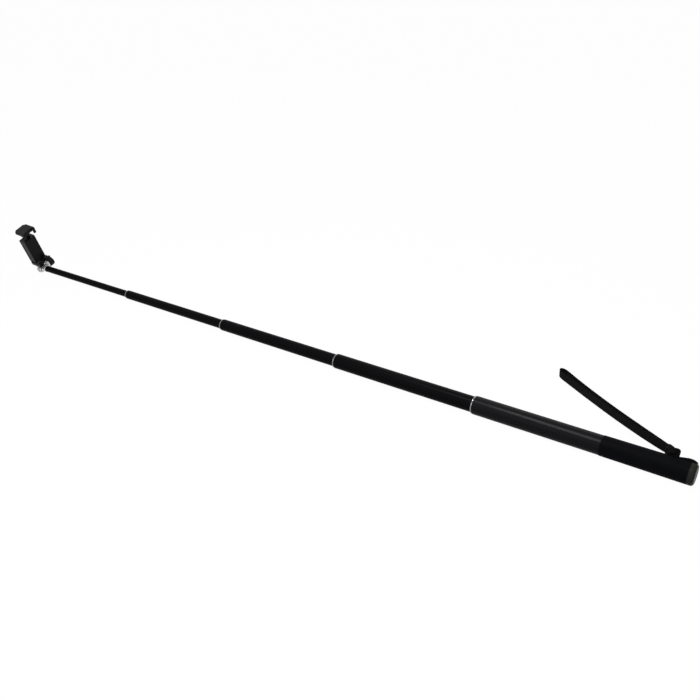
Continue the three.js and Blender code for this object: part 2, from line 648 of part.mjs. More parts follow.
function clampBody() {
  const width = CLAMP_HALF_WIDTH;
  const base = extruded(roundedShape(CLAMP_FRONT, CLAMP_REAR, -width, width, 3), CLAMP_FOOT, baseTop);
  const lip = roundedShape(-width, width, baseTop - 3, lipTop, 0.7);
  const lips = facing(lip, CLAMP_FRONT, fingerBack);
  const half = BODY_HALF_WIDTH;
  const housing = extruded(roundedShape(BODY_FRONT, bodyRear, -half, half, 1.4), baseTop - 1, BODY_TOP);
  const cavity = block(cavityFront, CLAMP_REAR + 1, -cavityHalf, cavityHalf, baseTop, cavityTop);
  const shell = cut(housing, cavity);
  const insertBoss = alongZ(rod(baseTop - 1, bossTop, INSERT_BOSS_RADIUS, 28));
  const bossInWalls = cut(insertBoss, block(bodyRear, CLAMP_REAR * 2, -half, half, 0, bossTop + 1));
  const bossWidth = 2 * SCREW_BOSS_RADIUS + 0.4;
  const screwBosses = [-cavityHalf - 0.4, cavityHalf + 0.4 - bossWidth - 0.4].map((y) =>
    block(bodyRear - SCREW_DEPTH, bodyRear, y, y + bossWidth + 0.4, baseTop - 0.5,
      screwHeights[0] + SCREW_BOSS_RADIUS),
  );
  const notch = LOWER_NOTCH / 2;
  const cutters = [
    block(BODY_FRONT - 1, BODY_FRONT + FOOT_RELIEF, -width, width, baseTop, lowerPadTop + SEAT),
    block(CLAMP_FRONT - 1, CLAMP_FRONT + LOWER_NOTCH_DEPTH, -notch, notch, CLAMP_FOOT - 1, lipTop + 1),
    alongZ(rod(CLAMP_FOOT - 1, bossTop + 1, insertRadius + PRESS_FIT, 28)),
    block(STEM_FRONT - SLIDE_FIT, STEM_REAR + SLIDE_FIT, -stemHalf - SLIDE_FIT,
      stemHalf + SLIDE_FIT, cavityTop - 1, BODY_TOP + 1),
    ...rodHoles(),
    ...screwPlaces.map(([y, z]) =>
      alongX(rod(bodyRear - SCREW_DEPTH, bodyRear + 1, SCREW_SHANK + SLIDE_FIT, 12)).translate(0, y, z)),
  ];
  return cut(join(base, lips, shell, bossInWalls, ...screwBosses), ...cutters);
}

function rearCover() {
  const half = BODY_HALF_WIDTH;
  const outline = roundedShape(-half, half, coverFoot, BODY_TOP, 1.4);
  const plate = facing(outline, CLAMP_REAR - COVER_THICK, CLAMP_REAR);
  const clearance = CLAMP_REAR - COVER_THICK - 1;
  const holes = screwPlaces.flatMap(([y, z]) => [
    alongX(rod(clearance, CLAMP_REAR + 1, SCREW_SHANK + SLIDE_FIT, 12)).translate(0, y, z),
    alongX(rod(headSeat, CLAMP_REAR + 1, SCREW_HEAD + 0.2, 16)).translate(0, y, z),
  ]);
  return cut(plate, ...holes);
}

function coverScrew() {
  const tip = bodyRear - SCREW_DEPTH + SEAT;
  const seat = headSeat + PRESS_FIT;
  const top = seat + SCREW_HEAD_THICK;
  return alongX(turned([
    [tip, 0],
    [tip + 0.6, SCREW_SHANK],
    [seat, SCREW_SHANK],
    [seat, SCREW_HEAD],
    [top - 0.4, SCREW_HEAD],
    [top, SCREW_HEAD - 0.6],
    [top, 0],
  ], 12));
}

function threadedInsert() {
  const inner = STUD_RADIUS + SLIDE_FIT;
  const waist = insertRadius - 0.5;
  const from = CLAMP_FOOT;
  const third = INSERT_HEIGHT / 3;
  return alongZ(turned([
    [from, inner],
    [from, insertRadius],
    [from + third, insertRadius],
    [from + third + 0.4, waist],
    [from + 2 * third - 0.4, waist],
    [from + 2 * third, insertRadius],
    [insertTop, insertRadius],
    [insertTop, inner],
    [from, inner],
  ], 28));
}

function ribbedPad(x0, x1, y0, y1, z0, z1, ribsDown) {
  const ribs = 6;
  const rise = 0.3;
  const pitch = (y1 - y0) / ribs;
  const low = ribsDown ? z0 + rise : z0;
  const high = ribsDown ? z1 : z1 - rise;
  const parts = [];
  for (let i = 0; i < ribs; i += 1) {
    const y = y0 + (i + 0.5) * pitch;
    const from = ribsDown ? z0 : z1 - rise - 0.2;
    const to = ribsDown ? z0 + rise + 0.2 : z1;
    parts.push(block(x0, x1, y - pitch * 0.3, y + pitch * 0.3, from, to));
  }
  return join(block(x0, x1, y0, y1, low, high), ...parts);
}

function coilSpring() {
  const from = footTop + SEAT + SPRING_WIRE;
  const to = cavityTop - SEAT - SPRING_WIRE;
  class Coil extends THREE.Curve {
    getPoint(t, target = new THREE.Vector3()) {
      const a = t * SPRING_TURNS * 2 * Math.PI;
      const z = from + t * (to - from);
      return target.set(SPRING_RADIUS * Math.cos(a), SPRING_RADIUS * Math.sin(a), z);
    }
  }
  const wire = new THREE.Shape();
  for (let i = 0; i < 5; i += 1) {
    const a = (i / 5) * 2 * Math.PI;
    if (i === 0) wire.moveTo(SPRING_WIRE, 0);
    else wire.lineTo(SPRING_WIRE * Math.cos(a), SPRING_WIRE * Math.sin(a));
  }
  wire.closePath();
  const options = { extrudePath: new Coil(), steps: SPRING_TURNS * 8 };
  return new THREE.ExtrudeGeometry(wire, options);
}

// Upper jaw: plate with two fingers, and the stem that runs down into the housing
function upperJaw() {
  const width = CLAMP_HALF_WIDTH - PLATE_BEVEL;
  const front = CLAMP_FRONT + PLATE_BEVEL;
  const rear = CLAMP_REAR - PLATE_BEVEL;
  const notch = UPPER_NOTCH / 2;
  const notchBack = fingerBack + 1.2;
  const shape = new THREE.Shape().moveTo(front, -width);
  shape.lineTo(rear - REAR_CORNER, -width).lineTo(rear, -width + REAR_CORNER);
  shape.lineTo(rear, width - REAR_CORNER).lineTo(rear - REAR_CORNER, width);
  shape.lineTo(front, width).lineTo(front, notch + PLATE_BEVEL);
  shape.lineTo(notchBack, notch + PLATE_BEVEL).lineTo(notchBack, -notch - PLATE_BEVEL);
  shape.lineTo(front, -notch - PLATE_BEVEL).closePath();
  const plate = new THREE.ExtrudeGeometry(shape, {
    depth: PLATE_THICK - 2 * PLATE_BEVEL,
    bevelThickness: PLATE_BEVEL,
    bevelSize: PLATE_BEVEL,
    bevelSegments: 2,
  }).translate(0, 0, plateFoot + PLATE_BEVEL);
  const fingers = [-1, 1].map((side) => {
    const inside = side * (notch + 0.1);
    const outside = side * (CLAMP_HALF_WIDTH - 0.2);
    const low = Math.min(inside, outside);
    const high = Math.max(inside, outside);
    const outline = roundedShape(low, high, upperPadFoot - FINGER_DROP, plateFoot + PLATE_THICK / 2, 1.2);
    return facing(outline, CLAMP_FRONT + 0.1, fingerBack);
  });
  const stem = block(STEM_FRONT, STEM_REAR, -stemHalf, stemHalf, footTop - 1, plateFoot + 1);
  const footWall = SEAT + SLIDE_FIT;
  const foot = block(cavityFront + footWall, bodyRear - footWall, -cavityHalf + footWall,
    cavityHalf - footWall, footFoot, footTop);
  const grooveHalf = stemHalf - 1.6;
  const grooves = [
    block(STEM_REAR - STEM_GROOVE, STEM_REAR + 1, -grooveHalf, grooveHalf, footTop + 3, plateFoot - 3),
    block(STEM_FRONT - 1, STEM_FRONT + STEM_GROOVE, -grooveHalf, grooveHalf, footTop + 3, plateFoot - 3),
  ];
  const bores = [-1, 1].map((side) =>
    alongZ(rod(footFoot - 1, footTop + 1, ROD_RADIUS + 0.2)).translate(ROD_X, side * rodY, 0));
  return cut(join(plate, ...fingers, stem, foot), ...grooves, ...bores);
}

function clamp() {
  const group = new THREE.Group();
  group.add(piece("clamp_body", "blackPlastic", clampBody()));
  group.add(piece("rear_cover", "blackPlastic", rearCover()));
  group.add(piece("threaded_insert", "brass", threadedInsert()));
  screwPlaces.forEach(([y, z], i) => {
    const screw = piece(`cover_screw_${i + 1}`, "satinSteel", coverScrew());
    screw.position.set(0, y, z);
    group.add(screw);
  });
  const padFront = fingerBack + PAD_INSET;
  const padBack = BODY_FRONT - PAD_INSET;
  for (const [name, side] of [["far", -1], ["near", 1]]) {
    const inside = side * (LOWER_NOTCH / 2 + PAD_INSET);
    const outside = side * (CLAMP_HALF_WIDTH - PAD_INSET);
    const pad = ribbedPad(padFront, padBack, Math.min(inside, outside), Math.max(inside, outside),
      baseTop + SEAT, lowerPadTop, false);
    group.add(piece(`lower_pad_${name}`, "rubber", pad));
    const guide = alongZ(rod(baseTop - ROD_SEAT_DEPTH, cavityTop + ROD_SEAT_DEPTH, ROD_RADIUS, 12));
    const guideRod = piece(`guide_rod_${name}`, "satinSteel", guide);
    guideRod.position.set(ROD_X, side * rodY, 0);
    const spring = piece(`jaw_spring_${name}`, "satinSteel", coilSpring());
    spring.position.copy(guideRod.position);
    group.add(guideRod, spring);
  }
  group.add(piece("upper_jaw", "blackPlastic", upperJaw()));
  const half = CLAMP_HALF_WIDTH - PAD_INSET;
  const upperPad = ribbedPad(fingerBack + 1.4, padBack, -half, half, upperPadFoot,
    upperPadFoot + PAD_THICK, true);
  group.add(piece("upper_pad", "rubber", upperPad));
  return group;
}

const selfieStick = new THREE.Group();
selfieStick.name = "selfie_stick";
const head = hinge();
head.position.x = hingeX;
head.rotation.x = -ROLL;
const tilted = new THREE.Group();
tilted.rotation.y = -LEAN;
tilted.add(mount(), clamp());
head.add(tilted);
selfieStick.add(grip(), telescope(), head);

export default selfieStick;
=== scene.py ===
"""Telescopic selfie stick, drawn out, with a tilting spring loaded clamp and a wrist strap."""

import math

import bmesh
import bpy
from mathutils import Matrix, Vector


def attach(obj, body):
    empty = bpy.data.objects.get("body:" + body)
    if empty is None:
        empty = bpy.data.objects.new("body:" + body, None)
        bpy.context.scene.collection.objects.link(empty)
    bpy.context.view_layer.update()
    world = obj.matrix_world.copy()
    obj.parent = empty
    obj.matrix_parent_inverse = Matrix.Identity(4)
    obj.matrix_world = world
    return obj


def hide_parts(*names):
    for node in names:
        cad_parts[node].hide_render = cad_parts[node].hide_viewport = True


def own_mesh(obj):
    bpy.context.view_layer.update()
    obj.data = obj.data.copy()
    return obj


bl_info = {
    "name": "Selfie stick",
    "version": (1, 0, 0),
    "blender": (4, 5, 0),
    "location": "3D View > Sidebar > Selfie stick",
    "description": "Builds a telescopic selfie stick and the white table that it lies on",
    "category": "Add Mesh",
}

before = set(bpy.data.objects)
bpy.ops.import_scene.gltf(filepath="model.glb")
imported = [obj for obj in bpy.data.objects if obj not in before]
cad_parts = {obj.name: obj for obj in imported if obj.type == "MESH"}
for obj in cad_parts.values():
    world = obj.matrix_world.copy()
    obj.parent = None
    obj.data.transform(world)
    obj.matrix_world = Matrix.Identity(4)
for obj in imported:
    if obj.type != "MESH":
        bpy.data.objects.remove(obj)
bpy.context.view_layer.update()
MM = 0.001

# Fits, radii and places that several pieces share, in millimetres
SLIDE_FIT = 0.1
PRESS_FIT = 0.05
SEAT = 0.3
MOVING_SECTIONS = 4
HINGE_X = 1108
RIVET_X = -20
BOLT_RADIUS = 2.5
BOLT_HOLE = 2.6
YOKE_SIDE = 6.4
ROD_X = -2
ROD_SIDE = 7.2
EAR_X = 25.6
EAR_HALF_LENGTH = 4.1
EAR_HALF_THICK = 3
SLOT_RADIUS = 17.1

# Roll of the head about the stick, lean of the clamp and turn of the ear
ROLL = math.radians(20)
LEAN = math.radians(4)
EAR_TURN = math.radians(32.5)

STICK = Matrix.Identity(4)
HEAD = Matrix.Translation((HINGE_X, 0, 0)) @ Matrix.Rotation(-ROLL, 4, "X")
CLAMP = HEAD @ Matrix.Rotation(-LEAN, 4, "Y")

EAR_RADIAL = Vector((0, -math.sin(EAR_TURN), math.cos(EAR_TURN)))
SLOT_CENTRE = EAR_RADIAL * SLOT_RADIUS + Vector((EAR_X, 0, 0))
STRAP_START = SLOT_CENTRE + Vector((11.6, -9.6, -4.6))
STRAP_TIP = Vector((209.1, -149.9, -7.1))
STRAP_SAG = 3
STRAP_RUN = [
    (0, 0.95), (10, 1.6), (40, 2.4), (80, 2.8), (115, 3), (150, 3.3),
    (180, 3.7), (198, 4.1), (207, 4.2), (212.4, 3.4), (215.6, 1.8), (216.6, 0),
]

# Camera's place in metres, two directions of its picture, and its lens in millimetres
CAMERA_PLACE = (-0.0961, 0.77498, 0.51779)
CAMERA_RIGHT = Vector((-0.8229, -0.568, -0.0142))
CAMERA_DOWN = Vector((-0.2527, 0.3884, -0.8862))
LENS, SENSOR = 41.143, 36

# The table in metres, just under the grip
TABLE_LEVEL = -0.01262


def strap_frame():
    """Place of the strap: X along it, Y across its two runs, Z up its width."""
    along = (STRAP_TIP - STRAP_START).normalized()
    up = (Vector((0, 0, 1)) - along * along.z).normalized()
    turn = Matrix((along, up.cross(along), up)).transposed().to_4x4()
    return Matrix.Translation(STRAP_START) @ turn


STRAP = strap_frame()

# Outlines


def polar(radius, angle):
    """A point at that radius and angle."""
    return radius * math.cos(angle), radius * math.sin(angle)


def circle(radius, steps):
    """Points round a circle."""
    return [polar(radius, 2 * math.pi * i / steps) for i in range(steps)]


def arc(centre, radius, start, end, steps):
    """Points of an arc in a plane, angles in degrees."""
    turns = [polar(radius, math.radians(start + (end - start) * i / steps)) for i in range(steps + 1)]
    return [(centre[0] + u, centre[1] + v) for u, v in turns]


def rounded(points, radii, steps):
    """A closed outline with its corners rounded; radii is one number or one for each corner."""
    count = len(points)
    radii = radii if isinstance(radii, list) else [radii] * count
    out = []
    for i, point in enumerate(points):
        p = Vector(point)
        to_last = Vector(points[i - 1]) - p
        to_next = Vector(points[(i + 1) % count]) - p
        bend = to_last.angle(to_next)
        reach = radii[i] / max(math.tan(bend / 2), 1e-6)
        reach = min(reach, 0.49 * to_last.length, 0.49 * to_next.length)
        if reach < 1e-4:
            out.append((p.x, p.y))
            continue
        a = p + to_last.normalized() * reach
        b = p + to_next.normalized() * reach
        for k in range(steps + 1):
            t = k / steps
            q = a * (1 - t) ** 2 + p * 2 * t * (1 - t) + b * t**2
            out.append((q.x, q.y))
    return out


def spline(points, each):
    """A smooth line through the points, with as many steps between each two."""
    out = []
    for i in range(len(points) - 1):
        p0 = Vector(points[max(i - 1, 0)])
        p1, p2 = Vector(points[i]), Vector(points[i + 1])
        p3 = Vector(points[min(i + 2, len(points) - 1)])
        for k in range(each):
            t = k / each
            a = p1 * 2 + (p2 - p0) * t
            b = (p0 * 2 - p1 * 5 + p2 * 4 - p3) * t**2
            c = (p1 * 3 - p0 - p2 * 3 + p3) * t**3
            out.append((a + b + c) / 2)
    out.append(Vector(points[-1]))
    return out


def helix(radius, low, pitch, steps, total):
    """Points of a helix that climbs along Z, with so many steps to a turn."""
    return [(*polar(radius, 2 * math.pi * i / steps), low + pitch * i / steps) for i in range(total + 1)]


# Meshes

# Turns a lathe's own Z into each axis
STAND = {
    "X": Matrix.Rotation(math.pi / 2, 4, "Y"),
    "Y": Matrix.Rotation(-math.pi / 2, 4, "X"),
    "Z": Matrix.Identity(4),
}

# Turns a plate's outline plane (u, v) and its thickness into X, Y and Z
PLANES = {
    "XY": Matrix.Identity(4),
    "XZ": Matrix(((1, 0, 0, 0), (0, 0, 1, 0), (0, 1, 0, 0), (0, 0, 0, 1))),
}


def linked_object(name, bm):
    """An object of the mesh that was built, linked into the scene."""
    mesh = bpy.data.meshes.new(name)
    bm.to_mesh(mesh)
    bm.free()
    obj = bpy.data.objects.new(name, mesh)
    bpy.context.collection.objects.link(obj)
    return obj


def shade_round(mesh, sharp):
    """Smooth shading, with a sharp edge where faces meet at more than that angle in degrees."""
    mesh.polygons.foreach_set("use_smooth", [True] * len(mesh.polygons))
    mesh.set_sharp_from_angle(angle=math.radians(sharp))


def finish_mesh(name, bm, place, sharp=32):
    """Closes a mesh built in millimetres and puts it at its place in metres."""
    bmesh.ops.remove_doubles(bm, verts=bm.verts, dist=1e-5)
    bmesh.ops.recalc_face_normals(bm, faces=bm.faces)
    obj = linked_object(name, bm)
    obj.data.transform(Matrix.Scale(MM, 4) @ place)
    shade_round(obj.data, sharp)
    return obj


def join_rings(bm, ring, after):
    """Faces between two rings of points; a ring at the axis is one point many times."""
    for i in range(len(ring)):
        j = (i + 1) % len(ring)
        corners = list(dict.fromkeys((ring[i], ring[j], after[j], after[i])))
        if len(corners) > 2:
            bm.faces.new(corners)


def lathe(name, profile, place, axis="X", segments=96):
    """A solid turned about an axis from a closed profile of (height, radius)."""
    bm = bmesh.new()
    rings = []
    for height, radius in profile:
        if radius < 1e-6:
            rings.append([bm.verts.new((0, 0, height))] * segments)
        else:
            rings.append([bm.verts.new((u, v, height)) for u, v in circle(radius, segments)])
    for ring, after in zip(rings, rings[1:] + rings[:1]):
        join_rings(bm, ring, after)
    return finish_mesh(name, bm, place @ STAND[axis])


def drill(low, high, radius, place, axis, segments=96):
    """A plain cylinder that is cut out of another piece."""
    return lathe("drill", [(low, 0), (low, radius), (high, radius), (high, 0)], place, axis, segments)


def plate(name, outline, low, high, place, plane="XY", bevel=0.0, segments=3):
    """A flat solid of an outline, from one height to another, with its rims rounded."""
    bm = bmesh.new()
    foot = [bm.verts.new((u, v, low)) for u, v in outline]
    head = [bm.verts.new((u, v, high)) for u, v in outline]
    bm.faces.new(foot)
    bm.faces.new(head)
    join_rings(bm, foot, head)
    if bevel:
        rims = [e for e in bm.edges if abs(e.verts[0].co.z - e.verts[1].co.z) < 1e-6]
        bmesh.ops.bevel(
            bm, geom=rims, offset=bevel, segments=segments, profile=0.5,
            affect="EDGES", clamp_overlap=True,
        )
    return finish_mesh(name, bm, place @ PLANES[plane])


def box(name, low, high, place):
    """A block between two opposite corners."""
    low, high = Vector(low), Vector(high)
    bm = bmesh.new()
    bmesh.ops.create_cube(bm, size=1)
    bm.transform(Matrix.Translation((low + high) / 2) @ Matrix.Diagonal((*(high - low), 1)))
    return finish_mesh(name, bm, place)


def sweep(name, points, section, place, up=(0, 0, 1), sharp=40):
    """A solid that carries a section of (across, up) along a line of points."""
    up = Vector(up).normalized()
    bm = bmesh.new()
    rings = []
    for i, point in enumerate(points):
        last, after = points[max(i - 1, 0)], points[min(i + 1, len(points) - 1)]
        along = (Vector(after) - Vector(last)).normalized()
        across = along.cross(up).normalized()
        rise = across.cross(along)
        cut = section(i) if callable(section) else section
        rings.append([bm.verts.new(Vector(point) + across * a + rise * b) for a, b in cut])
    for ring, after in zip(rings, rings[1:]):
        join_rings(bm, ring, after)
    bm.faces.new(rings[0])
    bm.faces.new(rings[-1])
    return finish_mesh(name, bm, place, sharp)


def thread_ridge(radius, depth, pitch, low, high, place, axis="Z"):
    """The ridge of a screw thread, wound on a core of that radius and fading at both ends."""
    steps = 24
    total = int((high - low) / pitch * steps)
    root, flank, crest = -0.15, pitch * 0.42, pitch * 0.06

    def ridge(i):
        height = max(0.02, depth * min(1.0, i / steps, (total - i) / steps))
        return [(root, -flank), (height, -crest), (height, crest), (root, flank)]

    line = helix(radius, low, pitch, steps, total)
    return sweep("ridge", line, ridge, place @ STAND[axis], sharp=25)


def merged(name, objs):
    """One object from several loose ones."""
    bm = bmesh.new()
    for obj in objs:
        bm.from_mesh(obj.data)
        bpy.data.objects.remove(obj)
    return linked_object(name, bm)


def apply_modifiers(obj):
    """Turns an object's modifiers into its mesh."""
    graph = bpy.context.evaluated_depsgraph_get()
    mesh = bpy.data.meshes.new_from_object(obj.evaluated_get(graph))
    obj.modifiers.clear()
    obj.data = mesh


def combine(obj, others, operation="DIFFERENCE", sharp=32):
    """Cuts other solids out of one, or joins them to it, and keeps only the result."""
    for other in others:
        step = obj.modifiers.new("combine", "BOOLEAN")
        step.operation = operation
        step.solver = "EXACT"
        step.object = other
    apply_modifiers(obj)
    for other in others:
        bpy.data.objects.remove(other)
    shade_round(obj.data, sharp)


def level_faces(obj):
    """Lets the broad faces keep their own direction, so that only the rims shade round."""
    step = obj.modifiers.new("level", "WEIGHTED_NORMAL")
    step.keep_sharp = True
    step.weight = 80
    apply_modifiers(obj)


def moulded(node, edge, segments):
    """A moulding with the solid's own faces and its edges rounded, as it leaves the tool."""
    bm = bmesh.new()
    bm.from_mesh(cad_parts[node].data)
    bmesh.ops.remove_doubles(bm, verts=bm.verts, dist=2e-6)
    bmesh.ops.dissolve_limit(bm, angle_limit=math.radians(1), verts=bm.verts, edges=bm.edges)
    bmesh.ops.recalc_face_normals(bm, faces=bm.faces)
    obj = linked_object(f"{node}_moulded", bm)
    rim = obj.modifiers.new("rim", "BEVEL")
    rim.width = edge * MM
    rim.segments = segments
    rim.limit_method = "ANGLE"
    rim.angle_limit = math.radians(35)
    apply_modifiers(obj)
    shade_round(obj.data, 40)
    return obj


# Effects


def feed(tree, value, socket):
    """Gives a socket a plain value, or the output of another node."""
    if isinstance(value, bpy.types.NodeSocket):
        tree.links.new(value, socket)
    else:
        socket.default_value = value


def effect_group(name, outputs, **inputs):
    """A node group with a Vector and other named inputs, and outputs that are plain values."""
    group = bpy.data.node_groups.new(name, "ShaderNodeTree")
    group.interface.new_socket("Vector", in_out="INPUT", socket_type="NodeSocketVector")
    for title, value in inputs.items():
        kind = "NodeSocketFloat" if isinstance(value, float) else "NodeSocketVector"
        socket = group.interface.new_socket(title.replace("_", " "), in_out="INPUT", socket_type=kind)
        socket.default_value = value
    for title in outputs:
        group.interface.new_socket(title, in_out="OUTPUT", socket_type="NodeSocketFloat")
    entry, leave = group.nodes.new("NodeGroupInput"), group.nodes.new("NodeGroupOutput")
    return group, entry.outputs, leave.inputs


def math_node(tree, operation, *values, clamp=False):
    """The result of one calculation on plain values or other nodes' outputs."""
    node = tree.nodes.new("ShaderNodeMath")
    node.operation = operation
    node.use_clamp = clamp
    for value, socket in zip(values, node.inputs):
        feed(tree, value, socket)
    return node.outputs[0]


def noise(tree, vector, scale, detail=3.0, rough=0.5):
    """Cloudy noise, mostly near one half."""
    node = tree.nodes.new("ShaderNodeTexNoise")
    for title, value in (("Vector", vector), ("Scale", scale), ("Detail", detail), ("Roughness", rough)):
        feed(tree, value, node.inputs[title])
    return node.outputs["Fac"]


def rising_mask(tree, value, start, slope):
    """0 up to a start value, then a climb to 1."""
    return math_node(tree, "MULTIPLY", math_node(tree, "SUBTRACT", value, start), slope, clamp=True)


def humps(tree, value):
    """A row of humps, one for each whole step of the value."""
    angle = math_node(tree, "MULTIPLY", value, math.pi)
    return math_node(tree, "ABSOLUTE", math_node(tree, "SINE", angle))


def grain_effect():
    """Fine pebbled grain of a moulding or a paint: its height, and a mask of its high spots."""
    group, given, result = effect_group("Grain", ("Height", "Mask"), Scale=2500.0)
    cells = group.nodes.new("ShaderNodeTexVoronoi")
    cells.feature = "SMOOTH_F1"
    feed(group, given["Vector"], cells.inputs["Vector"])
    feed(group, given["Scale"], cells.inputs["Scale"])
    feed(group, 0.7, cells.inputs["Smoothness"])
    fine = noise(group, given["Vector"], math_node(group, "MULTIPLY", given["Scale"], 1.7))
    height = math_node(group, "MULTIPLY_ADD", cells.outputs["Distance"], 0.7, fine)
    feed(group, height, result["Height"])
    feed(group, math_node(group, "SUBTRACT", height, 0.5, clamp=True), result["Mask"])
    return group


def streak_effect():
    """Fine lines left by turning or drawing, across or along the vector's X."""
    group, given, result = effect_group("Streaks", ("Height", "Mask"), Stretch=(9000.0, 60.0, 60.0))
    stretch = group.nodes.new("ShaderNodeVectorMath")
    stretch.operation = "MULTIPLY"
    feed(group, given["Vector"], stretch.inputs[0])
    feed(group, given["Stretch"], stretch.inputs[1])
    lines = noise(group, stretch.outputs[0], 1.0, 4.0, 0.6)
    feed(group, lines, result["Height"])
    feed(group, rising_mask(group, lines, 0.45, 4.0), result["Mask"])
    return group


def handling_effect():
    """Soft patches where hands and the table have polished or dusted a surface."""
    group, given, result = effect_group("Handling", ("Mask", "Specks"), Scale=35.0)
    patches = noise(group, given["Vector"], given["Scale"], 5.0, 0.6)
    feed(group, rising_mask(group, patches, 0.4, 3.2), result["Mask"])
    dots = noise(group, given["Vector"], math_node(group, "MULTIPLY", given["Scale"], 45.0), 1.0)
    feed(group, rising_mask(group, dots, 0.68, 9.0), result["Specks"])
    return group


def weave_effect():
    """Webbing: crossing threads, with X along the band and Z up its width, and painted shade between
    them.
    """
    group, given, result = effect_group(
        "Weave", ("Height", "Shade", "Fuzz"), Pitch_along=0.0011, Pitch_across=0.0009)
    split = group.nodes.new("ShaderNodeSeparateXYZ")
    feed(group, given["Vector"], split.inputs[0])
    u = math_node(group, "DIVIDE", split.outputs["X"], given["Pitch along"])
    v = math_node(group, "DIVIDE", split.outputs["Z"], given["Pitch across"])
    rising = humps(group, math_node(group, "ADD", u, v))
    falling = humps(group, math_node(group, "SUBTRACT", u, v))
    over = math_node(group, "MAXIMUM", rising, falling)
    height = math_node(group, "ADD", over, math_node(group, "MULTIPLY", humps(group, v), 0.5))
    feed(group, height, result["Height"])
    threads = noise(group, given["Vector"], 2200.0, 2.0)
    # Painted shade: thread height darkens the hollows and lightens the crests, times a random tone of
    # the threads
    feed(group, math_node(group, "MULTIPLY", height, threads, clamp=True), result["Shade"])
    feed(group, noise(group, given["Vector"], 9000.0, 2.0), result["Fuzz"])
    return group


EFFECT_MAKERS = {
    "grain": grain_effect,
    "streaks": streak_effect,
    "handling": handling_effect,
    "weave": weave_effect,
}
EFFECTS = {}


def effect(name):
    """The node group of an effect, built when a finish first asks for it."""
    if name not in EFFECTS:
        EFFECTS[name] = EFFECT_MAKERS[name]()
    return EFFECTS[name]


# Finishes


def between(tree, mask, low, high):
    """A value that runs from low to high with a mask."""
    node = tree.nodes.new("ShaderNodeMapRange")
    for title, value in (("Value", mask), ("To Min", low), ("To Max", high)):
        feed(tree, value, node.inputs[title])
    return node.outputs["Result"]


def shade(colour, factor):
    """A colour made lighter or darker."""
    return tuple(min(1.0, c * factor) for c in colour)


class Finish:
    """A material under construction, with its shader, coordinates and effects."""

    def __init__(self, name, place=None, **values):
        """Sets the shader's own values; with a place, the effects run along that place's axes."""
        self.material = bpy.data.materials.new(name)
        self.material.use_nodes = True
        self.tree = self.material.node_tree
        self.shader = self.tree.nodes["Principled BSDF"]
        for title, value in values.items():
            self.shader.inputs[title.replace("_", " ")].default_value = value
        where = self.tree.nodes.new("ShaderNodeTexCoord")
        self.vector = where.outputs["Object"]
        if place is not None:
            turn = self.tree.nodes.new("ShaderNodeMapping")
            turn.vector_type = "POINT"
            back = place.to_3x3().inverted()
            turn.inputs["Rotation"].default_value = back.to_euler()
            turn.inputs["Location"].default_value = -(back @ (place.translation * MM))
            self.tree.links.new(self.vector, turn.inputs["Vector"])
            self.vector = turn.outputs["Vector"]

    def add(self, name, **values):
        """Places an effect and returns its outputs."""
        node = self.tree.nodes.new("ShaderNodeGroup")
        node.node_tree = effect(name)
        self.tree.links.new(self.vector, node.inputs["Vector"])
        for title, value in values.items():
            node.inputs[title.replace("_", " ")].default_value = value
        return node.outputs

    def colour(self, mask, low, high):
        """Base colour, from low to high with a mask."""
        mix = self.tree.nodes.new("ShaderNodeMix")
        mix.data_type = "RGBA"
        for title, value in (("Factor", mask), ("A", (*low, 1)), ("B", (*high, 1))):
            feed(self.tree, value, mix.inputs[title])
        self.tree.links.new(mix.outputs["Result"], self.shader.inputs["Base Color"])

    def roughness(self, mask, low, high):
        """Roughness, from low to high with a mask."""
        self.tree.links.new(between(self.tree, mask, low, high), self.shader.inputs["Roughness"])

    def bump(self, height, distance, strength):
        """Relief, with its depth in metres."""
        node = self.tree.nodes.new("ShaderNodeBump")
        for title, value in (("Distance", distance), ("Strength", strength), ("Height", height)):
            feed(self.tree, value, node.inputs[title])
        self.tree.links.new(node.outputs["Normal"], self.shader.inputs["Normal"])


def tube_paint(name, colour, level):
    """Satin paint with faint lines along the drawn tube."""
    finish = Finish(name, Specular_IOR_Level=level)
    hands, streaks = finish.add("handling"), finish.add("streaks", Stretch=(40.0, 4200.0, 4200.0))
    finish.colour(hands["Specks"], colour, shade(colour, 2.2))
    finish.roughness(hands["Mask"], 0.32, 0.4)
    finish.bump(streaks["Height"], 0.00001, 0.25)
    return finish.material


def grip_black(colour):
    """Matte rubbery plastic of the grip."""
    finish = Finish("grip_black", Specular_IOR_Level=0.012)
    grain, hands = finish.add("grain", Scale=2600.0), finish.add("handling", Scale=60.0)
    finish.colour(hands["Mask"], colour, shade(colour, 1.35))
    finish.roughness(hands["Mask"], 0.5, 0.62)
    finish.bump(grain["Height"], 0.00005, 0.5)
    return finish.material


def cap_grey(colour):
    """Smooth plastic of the end cap, slightly scuffed."""
    finish = Finish("cap_grey", Specular_IOR_Level=0.03)
    hands, grain = finish.add("handling", Scale=90.0), finish.add("grain", Scale=900.0)
    finish.colour(hands["Mask"], colour, shade(colour, 1.15))
    finish.roughness(hands["Mask"], 0.3, 0.42)
    finish.bump(grain["Height"], 0.00002, 0.25)
    return finish.material


def bright_metal(name, colour, low, high, stretch, place=None):
    """Bare or plated metal with the lines that turning or drawing leaves."""
    finish = Finish(name, place, Metallic=1.0)
    streaks, hands = finish.add("streaks", Stretch=stretch), finish.add("handling", Scale=120.0)
    finish.colour(hands["Mask"], colour, shade(colour, 0.88))
    finish.roughness(streaks["Mask"], low, high)
    finish.bump(streaks["Height"], 0.00002, 0.3)
    return finish.material


def cast_silver(colour):
    """Cast and tumbled light metal."""
    finish = Finish("fitting_silver", Metallic=1.0)
    grain, hands = finish.add("grain", Scale=3200.0), finish.add("handling", Scale=140.0)
    finish.colour(hands["Mask"], colour, shade(colour, 0.8))
    finish.roughness(hands["Mask"], 0.26, 0.4)
    finish.bump(grain["Height"], 0.00003, 0.4)
    return finish.material


